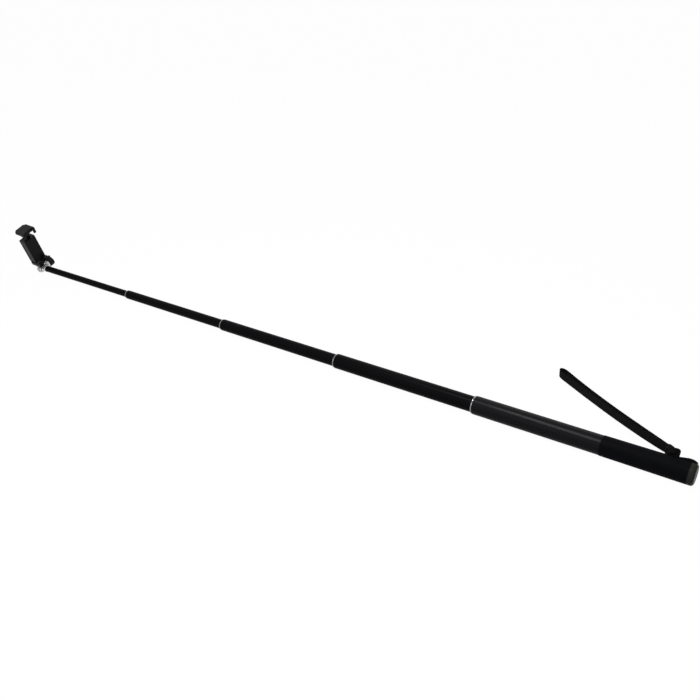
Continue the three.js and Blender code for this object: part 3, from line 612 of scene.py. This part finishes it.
def moulded_plastic(name, colour, low, high, grain_scale, depth, level=0.35):
    """Plastic as it leaves the mould, between two values of roughness."""
    finish = Finish(name, Specular_IOR_Level=level)
    grain, hands = finish.add("grain", Scale=grain_scale), finish.add("handling", Scale=90.0)
    finish.colour(hands["Specks"], colour, shade(colour, 1.8))
    finish.roughness(hands["Mask"], low, high)
    finish.bump(grain["Height"], depth, 0.5)
    return finish.material


def pad_rubber(colour):
    """Dull rubber of the clamp's pads."""
    finish = Finish("pad_rubber", Specular_IOR_Level=0.2)
    grain, hands = finish.add("grain", Scale=4000.0), finish.add("handling", Scale=150.0)
    finish.colour(hands["Mask"], colour, shade(colour, 1.5))
    finish.roughness(grain["Mask"], 0.72, 0.9)
    finish.bump(grain["Height"], 0.00004, 0.6)
    return finish.material


def webbing(colour):
    """Woven band, slightly fuzzy, with painted shade in the hollows between its threads and painted
    highlight on their crests.
    """
    finish = Finish(
        "webbing", STRAP, Specular_IOR_Level=0.02, Sheen_Weight=0.012, Sheen_Roughness=0.5)
    weave = finish.add("weave")
    # Base colour from the weave's painted shade and highlight, with a random tone of the threads
    finish.colour(weave["Shade"], shade(colour, 0.45), shade(colour, 2.6))
    finish.roughness(weave["Fuzz"], 0.7, 0.95)
    finish.bump(weave["Height"], 0.00018, 0.9)
    return finish.material


def make_finishes(colours):
    """Every finish of the stick, by name."""
    across_stick, up_clamp = (9000.0, 90.0, 90.0), (500.0, 500.0, 7000.0)
    rubber, bush, brass = (0.012, 0.012, 0.013), (0.16, 0.16, 0.17), (0.72, 0.52, 0.24)
    thread = shade(colours.webbing, 1.6)
    return {
        # The handle tube has the same paint as the sections; doubling its colour is painted light that
        # stands in for brighter reflections on the handle tube
        "handle_paint_painted_light": tube_paint("handle_paint_painted_light", shade(colours.tubes, 2.0), 0.04),
        "tube_paint": tube_paint("tube_paint", colours.tubes, 0.018),
        "grip_black": grip_black(colours.grip),
        "cap_grey": cap_grey(colours.cap),
        "ring_bright": bright_metal("ring_bright", colours.rings, 0.12, 0.24, across_stick),
        "fitting_silver": cast_silver(colours.fitting),
        "steel": bright_metal("steel", colours.steel, 0.2, 0.34, up_clamp, CLAMP),
        "head_black": moulded_plastic("head_black", colours.head, 0.34, 0.46, 3000.0, 0.00004, 0.08),
        "bush_grey": moulded_plastic("bush_grey", bush, 0.5, 0.62, 2200.0, 0.00003),
        "pad_rubber": pad_rubber(rubber),
        "insert_brass": bright_metal("insert_brass", brass, 0.2, 0.36, up_clamp, CLAMP),
        "webbing": webbing(colours.webbing),
        "stitch_thread": moulded_plastic("stitch_thread", thread, 0.6, 0.8, 9000.0, 0.00003),
    }


FINISHES = {}


def paint(obj, finish):
    """Gives an object that finish alone."""
    obj.data.materials.clear()
    obj.data.materials.append(FINISHES[finish])


def dress(obj, body, finish, *nodes, slot=None):
    """Gives a piece its finish, its body and the solids that it stands for."""
    level_faces(obj)
    paint(obj, finish)
    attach(obj, body)
    if nodes:
        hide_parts(*nodes)


# Sizes and colours that a user would change


def tint(title, words, value):
    """A colour that a user can change."""
    return bpy.props.FloatVectorProperty(
        name=title, description=words, default=value, subtype="COLOR", min=0, max=1)


def size(title, words, value):
    """A size in millimetres that a user can change."""
    return bpy.props.FloatProperty(name=title, description=words, default=value, min=0.0, precision=2)


class StickColours(bpy.types.PropertyGroup):
    """Colours of the stick's visible pieces."""

    tubes: tint("Tubes", "Satin paint of the tubes", (0.0024, 0.0024, 0.0029))
    grip: tint("Grip", "Matte sleeve of the handle", (0.0026, 0.0027, 0.0034))
    cap: tint("End cap", "Cap at the handle's end", (0.0155, 0.0158, 0.0136))
    rings: tint("Rings", "Plated rings at the mouths", (0.23, 0.23, 0.235))
    fitting: tint("Fitting", "Cast fitting of the hinge", (0.56, 0.56, 0.57))
    steel: tint("Steel", "Nut, bolt, rods, springs and screws", (0.5, 0.5, 0.52))
    head: tint("Head", "Moulded black pieces of the head", (0.0045, 0.0045, 0.0048))
    webbing: tint("Strap", "Woven wrist strap", (0.0023, 0.0023, 0.0025))


class StickSizes(bpy.types.PropertyGroup):
    """Sizes of the stick in millimetres."""

    cap_radius: size("Cap radius", "Outer radius of the end cap", 12.6)
    cap_corner: size("Cap corner", "Rounding of the cap's flat end", 3.4)
    cap_length: size("Cap length", "Band of the cap that shows", 7.0)
    grip_rear: size("Grip rear radius", "Radius of the sleeve beside the cap", 12.6)
    grip_front: size("Grip front radius", "Radius of the sleeve at its front", 12.1)
    grip_end: size("Grip end", "Front end of the sleeve from the flat end", 102.4)
    handle_length: size("Handle length", "Flat end to the first mouth", 260.8)
    reach: size("Section reach", "Length that each section shows", 208.3)
    overlap: size("Overlap", "Length of a section that stays inside", 28.0)
    handle_radius: size("Handle radius", "Outer radius of the widest tube", 11.7)
    radius_step: size("Radius step", "How much thinner each tube is", 1.6)
    wall: size("Wall", "Wall of the tubes", 0.6)
    lip: size("Lip", "Length of the rolled mouth", 1.2)
    ring_sleeve: size("Ring sleeve", "Part of the ring inside the mouth", 5.0)
    ring_reach: size("Ring reach", "Part of the ring that shows", 1.8)
    ring_flange: size("Ring flange", "Rim of the ring on the mouth", 0.35)
    knob_radius: size("Knob radius", "Radius over the knob's lobes", 7.9)
    knob_length: size("Knob length", "Length of the knob", 9.8)
    knob_lobes: bpy.props.IntProperty(
        name="Knob lobes", description="Lobes round the knob", default=8, min=3)
    web_width: size("Strap width", "Width of the webbing", 10.6)
    web_thick: size("Strap thickness", "Thickness of the webbing", 1.2)
    colours: bpy.props.PointerProperty(
        type=StickColours, name="Colours", description="Colours of the pieces")


def sizes():
    """The sizes that the scene holds."""
    return bpy.context.scene.selfie_stick


def outer_radius(tube):
    """Outer radius of a tube, counted from the handle's, which is 0."""
    return sizes().handle_radius - tube * sizes().radius_step


def bore_radius(tube):
    """Inner radius of a tube."""
    return outer_radius(tube) - sizes().wall


def mouth_x(tube):
    """Place of a tube's mouth from the flat end."""
    return sizes().handle_length + tube * sizes().reach


def body_of_tube(tube):
    """Name of the body that carries a tube."""
    return "handle" if tube == 0 else f"section_{tube}"


# Pieces


class BuildCamera(bpy.types.Operator):
    """Camera at the height and angle from which the stick is seen."""

    bl_idname = "selfie_stick.camera"
    bl_label = "Camera"

    def execute(self, context):
        lens = bpy.data.cameras.new("camera")
        lens.lens, lens.sensor_width = LENS, SENSOR
        lens.clip_start, lens.clip_end = 0.01, 50
        camera = bpy.data.objects.new("camera", lens)
        context.collection.objects.link(camera)
        camera.location = CAMERA_PLACE
        turn = Matrix((CAMERA_RIGHT, -CAMERA_DOWN, CAMERA_RIGHT.cross(-CAMERA_DOWN))).transposed()
        camera.rotation_mode = "QUATERNION"
        camera.rotation_quaternion = turn.to_quaternion()
        context.scene.camera = camera
        return {"FINISHED"}


def band_section(width, thick, steps):
    """Cross section of a webbing band: woven edges round off, faces stay flat."""
    w, t = width / 2, thick / 2
    edge = 0.45
    upper = [(t, -w + edge + (2 * w - 2 * edge) * i / steps) for i in range(steps + 1)]
    top = [(t * 0.6, w - 0.12), (0, w), (-t * 0.6, w - 0.12)]
    lower = [(-a, -b) for a, b in upper]
    return upper + top + lower + [(-a, -b) for a, b in top]


class BuildStrap(bpy.types.Operator):
    """Wrist strap: the doubled band, its stitched keeper and the tab in the ear."""

    bl_idname = "selfie_stick.strap"
    bl_label = "Wrist strap"

    def execute(self, context):
        s = sizes()
        reach = STRAP_RUN[-1][0]
        run = [Vector((x, y, -4 * STRAP_SAG * (x / reach) * (1 - x / reach))) for x, y in STRAP_RUN]
        route = run + [Vector((p.x, -p.y, p.z)) for p in run[-2::-1]]
        line = spline(route, 24)
        flat = band_section(s.web_width, s.web_thick, 10)
        ripple = 0.035

        def woven(i):
            lift = ripple * math.cos(i * math.pi)
            return [
                (a + math.copysign(lift, a) * (1 if k % 2 else -1), b)
                for k, (a, b) in enumerate(flat)
            ]

        band = sweep("strap_band", line, woven, STRAP, sharp=70)
        dress(band, "handle", "webbing", "strap_loop")
        keeper = self.keeper()
        tab = self.tab()
        return {"FINISHED"}

    def keeper(self):
        """Block where the two runs meet, with a rectangle of stitches on each side."""
        rear, front, half, tall = -9.4, 0.3, 2.9, 5.5
        outline = rounded([(rear, -half), (front, -half), (front, half), (rear, half)], 1.6, 6)
        block = plate("strap_keeper_wrap", outline, -tall, tall, STRAP, bevel=0.7, segments=4)
        dress(block, "handle", "webbing", "strap_keeper")
        # Five stitches on each side of a rectangle: lying along its top and foot, upright at its ends
        reach, thread, rise = 0.42, 0.17, 0.12
        lying, upright = Vector((reach, 0, 0)), Vector((0, 0, reach))
        rows = [(-6.1 + 1.15 * i, z, lying) for z in (-4.1, 4.1) for i in range(5)]
        rows += [(x, -2.4 + 1.2 * i, upright) for x in (-6.3, -1.3) for i in range(5)]
        stitches = []
        for side in (-1, 1):
            for x, z, half_stitch in rows:
                middle = Vector((x, side * (half + 0.02), z))
                crest = middle + Vector((0, side * rise, 0))
                points = [middle - half_stitch, crest, middle + half_stitch]
                stitch = sweep("stitch", points, circle(thread, 8), STRAP, up=(0, side, 0.01), sharp=80)
                stitches.append(stitch)
        seam = merged("strap_stitches", stitches)
        dress(seam, "handle", "stitch_thread", slot="webbing")
        return [block, seam]

    def tab(self):
        """Narrow band from the keeper through the ear's slot and back."""
        away = Vector((0, -math.cos(EAR_TURN), -math.sin(EAR_TURN)))
        turn = Matrix((Vector((1, 0, 0)), away, -EAR_RADIAL)).transposed().to_4x4()
        place = Matrix.Translation(SLOT_CENTRE) @ turn
        width, thick, face, front = 4.6, 1.2, 4.1, 4.75
        points = [
            (front - 0.65, face + 2.35, 1), (front - 1.75, face + 1.1, 0.6), (2, face + 0.1, 0.1),
            (0.6, face - 0.5, 0), (0, face - 2.1, 0), (0, 0, 0), (0, 2.1 - face, 0),
            (0.6, 0.5 - face, 0), (2.2, -face, 0), (front - 0.25, -face, 0),
            (front + 1.1, 1.7 - face, 0.1), (front + 1.2, 0, 0.3), (front + 1.15, 2.2, 0.6),
            (front + 1.1, face - 0.3, 0.8),
        ]
        section = band_section(width, thick, 6)
        band = sweep("strap_tab_band", spline(points, 8), section, place, sharp=70)
        dress(band, "handle", "webbing", "strap_tab")
        return [band]


class BuildHandle(bpy.types.Operator):
    """End cap and grip sleeve with the strap's ear."""

    bl_idname = "selfie_stick.handle"
    bl_label = "Handle"

    def execute(self, context):
        s = sizes()
        plug = bore_radius(0) - PRESS_FIT
        radius, corner, end = s.cap_radius, s.cap_corner, s.cap_length
        tail = end + 7.5
        profile = [(0, 0), (0, 6)] + arc((corner, radius - corner), corner, 180, 90, 10)
        profile += [(end - 0.35, radius), (end - 0.1, radius - 0.08), (end, radius - 0.3)]
        profile += [(end, plug), (tail - 0.8, plug), (tail, plug - 0.9), (tail, 0)]
        cap = lathe("cap", profile, STICK, segments=128)
        dress(cap, "handle", "cap_grey", "end_cap")
        self.grip(s)
        return {"FINISHED"}

    def grip(self, s):
        """Sleeve on the handle's tube, with the ear, its slot and the rib that leads up to it."""
        bore = s.handle_radius + PRESS_FIT
        start, end = s.cap_length + PRESS_FIT, s.grip_end
        rear, front = s.grip_rear, s.grip_front
        outside = [(start, rear - 0.45), (start + 0.12, rear - 0.15), (start + 0.5, rear)]
        outside += [(end - 1, front), (end - 0.5, front - 0.03), (end - 0.15, front - 0.12)]
        profile = [(start, bore)] + outside + [(end, front - 0.3), (end, bore)]
        sleeve = lathe("grip", profile, STICK, segments=128)
        ear = self.ear_plate("ear", self.ear_outline(rear - 0.6), EAR_HALF_THICK, 0.7)
        rib = self.ear_plate("rib", self.rib_outline(rear - 0.6), EAR_HALF_THICK, 0.5)
        combine(rib, [drill(-1, start, s.cap_radius + PRESS_FIT, STICK, "X", 128)])
        slot = self.ear_plate("slot", self.slot_outline(), 6, 0)
        combine(sleeve, [ear, rib], "UNION")
        combine(sleeve, [slot])
        dress(sleeve, "handle", "grip_black", "grip_sleeve")

    def ear_plate(self, name, outline, half, bevel):
        """A plate that stands up from the sleeve in the ear's direction."""
        turned = Matrix.Rotation(EAR_TURN, 4, "X")
        return plate(name, outline, -half, half, turned, plane="XZ", bevel=bevel, segments=4)

    def ear_outline(self, low):
        """The ear from the side, round at its top."""
        rear, front, top = EAR_X - EAR_HALF_LENGTH, EAR_X + EAR_HALF_LENGTH, SLOT_RADIUS + 4.9
        return rounded([(rear, low), (front, low), (front, top), (rear, top)], [0, 0, 3.8, 3.8], 10)

    def rib_outline(self, low):
        """The low hump that runs from near the flat end to the ear."""
        foot = 1.9
        outline = [(foot, low), (EAR_X, low), (EAR_X, low + 1)]
        outline += [(11, low + 3.6), (6.5, low + 3.4), (foot, low + 1.6)]
        return rounded(outline, [0, 0, 0, 4, 4, 1.2], 8)

    def slot_outline(self):
        """The slot for the strap's tab."""
        rear, front = EAR_X - 1.5, EAR_X + 1.5
        low, high = SLOT_RADIUS - 2.8, SLOT_RADIUS + 2.8
        return rounded([(rear, low), (front, low), (front, high), (rear, high)], 1.3, 6)


class BuildTubes(bpy.types.Operator):
    """The five tubes with their rolled mouths."""

    bl_idname = "selfie_stick.tubes"
    bl_label = "Tubes"

    def execute(self, context):
        s = sizes()
        steps = 6
        for tube in range(MOVING_SECTIONS + 1):
            outer, bore, mouth = outer_radius(tube), bore_radius(tube), mouth_x(tube)
            tail = mouth_x(tube - 1) - s.overlap if tube else s.cap_length + PRESS_FIT
            profile = [(tail, bore), (tail, outer - 0.1), (tail + 0.1, outer)]
            for i in range(steps + 1):
                a = math.pi / 2 * i / steps
                drop = s.wall * 0.55 * (1 - math.cos(a))
                profile.append((mouth - s.lip + s.lip * math.sin(a), outer - drop))
            profile += [(mouth, bore + 0.05), (mouth - 0.1, bore)]
            name = body_of_tube(tube)
            made = lathe(f"{name}_tube_drawn", profile, STICK)
            # The handle tube takes the copy of the tube paint whose doubled colour is painted light
            finish = "tube_paint" if tube else "handle_paint_painted_light"
            dress(made, name, finish, f"{name}_tube", slot="tube_paint")
        return {"FINISHED"}


class BuildRings(bpy.types.Operator):
    """The bright ring at the mouth of each tube that another slides in."""

    bl_idname = "selfie_stick.rings"
    bl_label = "Mouth rings"

    def execute(self, context):
        s = sizes()
        curve = 0.7
        for tube in range(MOVING_SECTIONS):
            bore, mouth, name = bore_radius(tube), mouth_x(tube), body_of_tube(tube)
            inner = outer_radius(tube + 1) + SLIDE_FIT
            sleeve, flange = bore - PRESS_FIT, bore + s.ring_flange
            tail, out, face = mouth - s.ring_sleeve, mouth + PRESS_FIT, mouth + s.ring_reach
            profile = [(tail, inner), (tail, sleeve), (out, sleeve)]
            profile += [(out, flange - 0.1), (out + 0.08, flange)]
            profile += arc((face - curve, flange - curve), curve, 90, 0, 6)
            profile += [(face, inner + 0.15), (face - 0.12, inner)]
            ring = lathe(f"{name}_ring_turned", profile, STICK)
            dress(ring, name, "ring_bright", f"{name}_mouth_ring")
        return {"FINISHED"}


class BuildHinge(bpy.types.Operator):
    """Fitting in the tube's end, rivet, hinge bolt, nut, ferrule and tilt knob."""

    bl_idname = "selfie_stick.hinge"
    bl_label = "Hinge and knob"

    def execute(self, context):
        self.fitting()
        self.bolt()
        self.nut()
        self.knob(sizes())
        return {"FINISHED"}

    def fitting(self):
        """Plug in the thinnest tube with the hinge's tongue, and the rivet that holds it."""
        plug = bore_radius(MOVING_SECTIONS) - PRESS_FIT
        tail, flange, face, corner = -27, -13.9, -11, 0.8
        profile = [(tail, 0), (tail, plug - 0.6), (tail + 0.6, plug), (flange, plug)]
        profile += [(flange, 5.7), (flange + 0.15, 5.9)]
        profile += arc((face - corner, 5.9 - corner), corner, 90, 0, 6) + [(face, 0)]
        body = lathe("fitting", profile, HEAD)
        neck, eye, half = 4.3, 6.4, 2.5
        outline = [(-12, -neck), (-9.5, -neck)] + arc((0, 0), eye, -137, 137, 56)
        outline += [(-9.5, neck), (-12, neck)]
        tongue = plate("tongue", outline, -half, half, HEAD, plane="XZ", bevel=0.35)
        combine(body, [tongue], "UNION")
        across = HEAD @ Matrix.Translation((RIVET_X, 0, 0))
        combine(body, [drill(-8, 8, BOLT_HOLE, HEAD, "Y", 64), drill(-8, 8, 1.1, across, "Y", 32)])
        dress(body, "section_4", "fitting_silver", "tube_fitting")
        head = math.sqrt(outer_radius(MOVING_SECTIONS) ** 2 - 1)
        rivet = [(-head, 0), (-head, 0.8), (-head + 0.2, 1), (head - 0.2, 1), (head, 0.8), (head, 0)]
        pin = lathe("rivet", rivet, across, "Y", 40)
        dress(pin, "section_4", "steel", "fitting_rivet")

    def bolt(self):
        """Hinge bolt, fast in the knob, with its thread in the nut."""
        foot, top, core = -18.75, 10.15, 2.15
        profile = [(foot, 0), (foot, BOLT_RADIUS), (4.2, BOLT_RADIUS), (4.4, core)]
        profile += [(top - 0.3, core), (top, 1.9), (top, 0)]
        shank = lathe("bolt", profile, HEAD, "Y", 64)
        ridge = thread_ridge(core, 0.33, 0.8, 4.6, top - 0.15, HEAD, "Y")
        made = merged("hinge_bolt_threaded", [shank, ridge])
        dress(made, "tilt_knob", "steel", "hinge_bolt")

    def nut(self):
        """Six sided nut with its outer corners turned off."""
        seat, top, flats = 5.65, 9.65, 4.0
        tip = flats / math.cos(math.pi / 6)
        nut = plate("nut", circle(tip, 6), seat, top, HEAD, plane="XZ")
        cone = [(seat, 0), (seat, tip), (8.9, tip), (9.15, tip - 0.25), (top, flats - 0.35), (top, 0)]
        dome = lathe("dome", cone, HEAD, "Y")
        bore = [(5, 0), (5, BOLT_HOLE), (9.3, BOLT_HOLE), (9.7, 3), (9.7, 0)]
        hole = lathe("hole", bore, HEAD, "Y", 64)
        combine(nut, [dome], "INTERSECT")
        combine(nut, [hole])
        dress(nut, "yoke", "steel", "hinge_nut")

    def knob(self, s):
        """Bright ferrule beside the yoke, and the lobed knob behind it."""
        near = -YOKE_SIDE - SEAT
        far = near - 5.2
        outer = 6.4
        ring = [(far, BOLT_HOLE), (far, 6.2), (far + 0.2, outer), (near - 2.4, outer)]
        ring += [(near - 2.1, 6.1), (near - 1.8, outer), (near - 1.2, outer)]
        ring += [(near - 0.35, 5.9), (near, 5.5), (near, BOLT_HOLE)]
        ferrule = lathe("ferrule", ring, HEAD, "Y")
        dress(ferrule, "tilt_knob", "fitting_silver", "knob_ferrule", slot="ring_bright")
        start = far - SEAT
        end = start - s.knob_length
        rim = [(0, 0.86), (0.12, 0.905), (0.4, 0.955), (0.8, 0.988), (1.3, 1)]
        stations = [(end + rise, scale) for rise, scale in rim]
        stations += [(start - rise, scale) for rise, scale in rim[::-1]]
        line = [(0, y, 0) for y, scale in stations]
        steps, dip = s.knob_lobes * 12, 0.09

        def lobes(i):
            turns = [2 * math.pi * k / steps for k in range(steps)]
            dents = [max(0.0, math.cos(a * s.knob_lobes)) * dip for a in turns]
            return [polar(s.knob_radius * (1 - d) * stations[i][1], a) for a, d in zip(turns, dents)]

        body = sweep("knob", line, lobes, HEAD, sharp=50)
        bore = drill(end + 3, start + 1, BOLT_HOLE, HEAD, "Y")
        dent = [(end - 1, 0), (end - 1, 5.4), (end, 5.1), (end + 0.5, 4.5), (end + 0.5, 0)]
        combine(body, [bore, lathe("dish", dent, HEAD, "Y")], sharp=50)
        dress(body, "tilt_knob", "head_black", "tilt_knob")


class BuildMount(bpy.types.Operator):
    """Yoke, threaded stud and its knurled lock ring."""

    bl_idname = "selfie_stick.mount"
    bl_label = "Yoke and stud"

    def execute(self, context):
        yoke = moulded("yoke", 0.4, 3)
        dress(yoke, "yoke", "fitting_silver", "yoke")
        foot, top, core = 8.2, 21.2, 2.7
        profile = [(foot, 0), (foot, 3.1), (10.3, 3.1), (10.6, core)]
        profile += [(top - 0.6, core), (top, core - 0.5), (top, 0)]
        shank = lathe("stud", profile, CLAMP, "Z", 64)
        ridge = thread_ridge(core, 0.46, 1.27, 10.9, 20.9, CLAMP)
        stud = merged("stud_threaded", [shank, ridge])
        dress(stud, "yoke", "steel", "quarter_inch_stud")
        self.lock_ring()
        return {"FINISHED"}

    def lock_ring(self):
        """Ring on the stud that locks the clamp, with a coarse knurl."""
        low, high, bore = 10.7, 15.2, 3.275
        teeth, crest, root = 36, 9.0, 8.6
        tooth = ((0.0, crest), (0.34, crest), (0.5, root), (0.84, root))
        corners = [(i + share, r) for i in range(teeth) for share, r in tooth]
        outline = [polar(r, 2 * math.pi * turn / teeth) for turn, r in corners]
        ring = plate("lock_ring_knurled", outline, low, high, CLAMP, bevel=0.25, segments=2)
        combine(ring, [drill(low - 1, high + 1, bore, CLAMP, "Z")])
        dress(ring, "lock_ring", "head_black", "lock_ring")


class BuildClamp(bpy.types.Operator):
    """Clamp housing, cover, pads, screws, guide rods, springs and the sliding upper jaw."""

    bl_idname = "selfie_stick.clamp"
    bl_label = "Clamp"

    def execute(self, context):
        shells = {"clamp_body": "clamp", "rear_cover": "clamp", "upper_jaw": "upper_jaw"}
        for node, body in shells.items():
            dress(moulded(node, 0.3, 3), body, "head_black", node)
        pads = {"lower_pad_far": "clamp", "lower_pad_near": "clamp", "upper_pad": "upper_jaw"}
        for node, body in pads.items():
            dress(moulded(node, 0.12, 2), body, "pad_rubber", node)
        corners = [(y, z) for z in (22.5, 64.75) for y in (-7.4, 7.4)]
        for i, (y, z) in enumerate(corners):
            self.screw(f"cover_screw_{i + 1}", y, z)
        for name, side in (("far", -1), ("near", 1)):
            self.rod_and_spring(name, side)
        return {"FINISHED"}

    def screw(self, node, y, z):
        """Pan head screw of the cover, with a cross recess."""
        place = CLAMP @ Matrix.Translation((0, y, z))
        seat, shank, depth = 5.25, 0.9, 0.6
        top = seat + 1.1
        profile = [(0.8, 0), (1.4, shank), (seat, shank), (seat, 1.8), (seat + 0.1, 1.9)]
        profile += [(top - 0.4, 1.85), (top - 0.12, 1.4), (top, 0.8), (top, 0)]
        head = lathe("screw", profile, place, segments=48)
        halves = ((0.95, 0.2), (0.2, 0.95))
        arms = [box("arm", (top - depth, -a, -b), (top + 1, a, b), place) for a, b in halves]
        combine(head, arms)
        head.name = f"{node}_driven"
        dress(head, "clamp", "steel", node)

    def rod_and_spring(self, name, side):
        """Guide rod of the jaw's foot, and the spring that is wound round it."""
        place = CLAMP @ Matrix.Translation((ROD_X, side * ROD_SIDE, 0))
        low, high, radius = 17.1, 65.9, 1.1
        profile = [(low, 0), (low, 0.9), (low + 0.3, radius)]
        profile += [(high - 0.3, radius), (high, 0.9), (high, 0)]
        rod = lathe(f"guide_rod_{name}_ground", profile, place, "Z", 40)
        dress(rod, "clamp", "steel", f"guide_rod_{name}")
        foot, head, turns, steps = 29.6, 61.9, 9, 24
        line = helix(1.75, foot, (head - foot) / turns, steps, turns * steps)
        wire = sweep(f"jaw_spring_{name}_wound", line, circle(0.3, 10), place, sharp=80)
        dress(wire, "clamp", "steel", f"jaw_spring_{name}")
        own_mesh(wire)


class DressSolids(bpy.types.Operator):
    """Finishes of the solids that show as they are: bushes, washers and the insert."""

    bl_idname = "selfie_stick.solids"
    bl_label = "Bushes and washers"

    def execute(self, context):
        shown = dict.fromkeys(("front_bush", "tail_bush", "friction_washer"), "bush_grey")
        shown["threaded_insert"] = "insert_brass"
        for node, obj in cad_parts.items():
            for ending, finish in shown.items():
                if node.endswith(ending):
                    paint(obj, finish)
        return {"FINISHED"}


def shown_white(tree, ray):
    """1 where the camera, a reflection or glass looks at the background, otherwise 0."""
    seen = math_node(tree, "ADD", ray.outputs["Is Camera Ray"], ray.outputs["Is Glossy Ray"])
    return math_node(tree, "ADD", seen, ray.outputs["Is Transmission Ray"], clamp=True)


class BuildStage(bpy.types.Operator):
    """White table, soft lamps and the plain light round them."""

    bl_idname = "selfie_stick.stage"
    bl_label = "Table and lamps"

    def execute(self, context):
        bm = bmesh.new()
        bmesh.ops.create_grid(bm, x_segments=1, y_segments=1, size=20)
        table = linked_object("table", bm)
        table.location = (0.5, 0, TABLE_LEVEL)
        table.data.materials.append(self.table_white())
        self.world(context)
        self.lamp("strip", (0.5, 0.32, 1.2), (0.2, 0, 0), (0.55, 0.14), 16)
        self.lamp("front", (0.9, 1.6, 0.9), (0.6, 0, 0), (1.6, 0.8), 5)
        self.lamp("back", (0.9, -1.5, 1.2), (0.6, 0, 0), (1.4, 0.7), 4)
        return {"FINISHED"}

    def table_white(self):
        """Plain white where the table is looked at, with only a trace of the shadows on it."""
        material = bpy.data.materials.new("table_white")
        material.use_nodes = True
        tree = material.node_tree
        tree.nodes.clear()
        new, link = tree.nodes.new, tree.links.new
        out, mix = new("ShaderNodeOutputMaterial"), new("ShaderNodeMixShader")
        lit, glow = new("ShaderNodeBsdfDiffuse"), new("ShaderNodeEmission")
        ray = new("ShaderNodeLightPath")
        lit.inputs["Color"].default_value = (0.8, 0.8, 0.8, 1)
        glow.inputs["Color"].default_value = (1, 1, 1, 1)
        link(math_node(tree, "MULTIPLY", shown_white(tree, ray), 0.98), mix.inputs["Fac"])
        link(lit.outputs[0], mix.inputs[1])
        link(glow.outputs[0], mix.inputs[2])
        link(mix.outputs[0], out.inputs["Surface"])
        return material

    def world(self, context):
        """White surroundings that light the pieces less than they show."""
        world = bpy.data.worlds.new("studio")
        world.use_nodes = True
        context.scene.world = world
        tree = world.node_tree
        back, ray = tree.nodes["Background"], tree.nodes.new("ShaderNodeLightPath")
        back.inputs["Color"].default_value = (1, 1, 1, 1)
        tree.links.new(between(tree, shown_white(tree, ray), 0.3, 1.0), back.inputs["Strength"])

    def lamp(self, name, place, target, spread, power):
        """A soft box at a place, turned to a target, in metres and watts."""
        light = bpy.data.lights.new(name, "AREA")
        light.shape, light.energy = "RECTANGLE", power
        light.size, light.size_y = spread
        lamp = bpy.data.objects.new(name, light)
        bpy.context.collection.objects.link(lamp)
        lamp.location = place
        lamp.rotation_euler = (Vector(target) - Vector(place)).to_track_quat("-Z", "Y").to_euler()


class StickPanel(bpy.types.Panel):
    """Lists the pieces, sizes and colours of the stick."""

    bl_idname = "SELFIE_STICK_PT_pieces"
    bl_label = "Selfie stick"
    bl_space_type = "VIEW_3D"
    bl_region_type = "UI"
    bl_category = "Selfie stick"

    def draw(self, context):
        column = self.layout.column()
        for operator in PIECES:
            column.operator(operator.bl_idname)
        for title in StickSizes.__annotations__:
            if title != "colours":
                column.prop(context.scene.selfie_stick, title)
        for title in StickColours.__annotations__:
            column.prop(context.scene.selfie_stick.colours, title)


PIECES = (
    BuildCamera, BuildStrap, BuildHandle, BuildTubes, BuildRings, BuildHinge,
    BuildMount, BuildClamp, DressSolids, BuildStage,
)
CLASSES = (StickColours, StickSizes, *PIECES, StickPanel)


def register():
    for item in CLASSES:
        bpy.utils.register_class(item)
    bpy.types.Scene.selfie_stick = bpy.props.PointerProperty(type=StickSizes)


def unregister():
    del bpy.types.Scene.selfie_stick
    for item in reversed(CLASSES):
        bpy.utils.unregister_class(item)


def main():
    """Builds every piece in order."""
    register()
    bpy.context.scene.view_settings.view_transform = "Standard"
    FINISHES.update(make_finishes(sizes().colours))
    for piece in PIECES:
        group, name = piece.bl_idname.split(".")
        getattr(getattr(bpy.ops, group), name)()


if __name__ == "__main__":
    main()
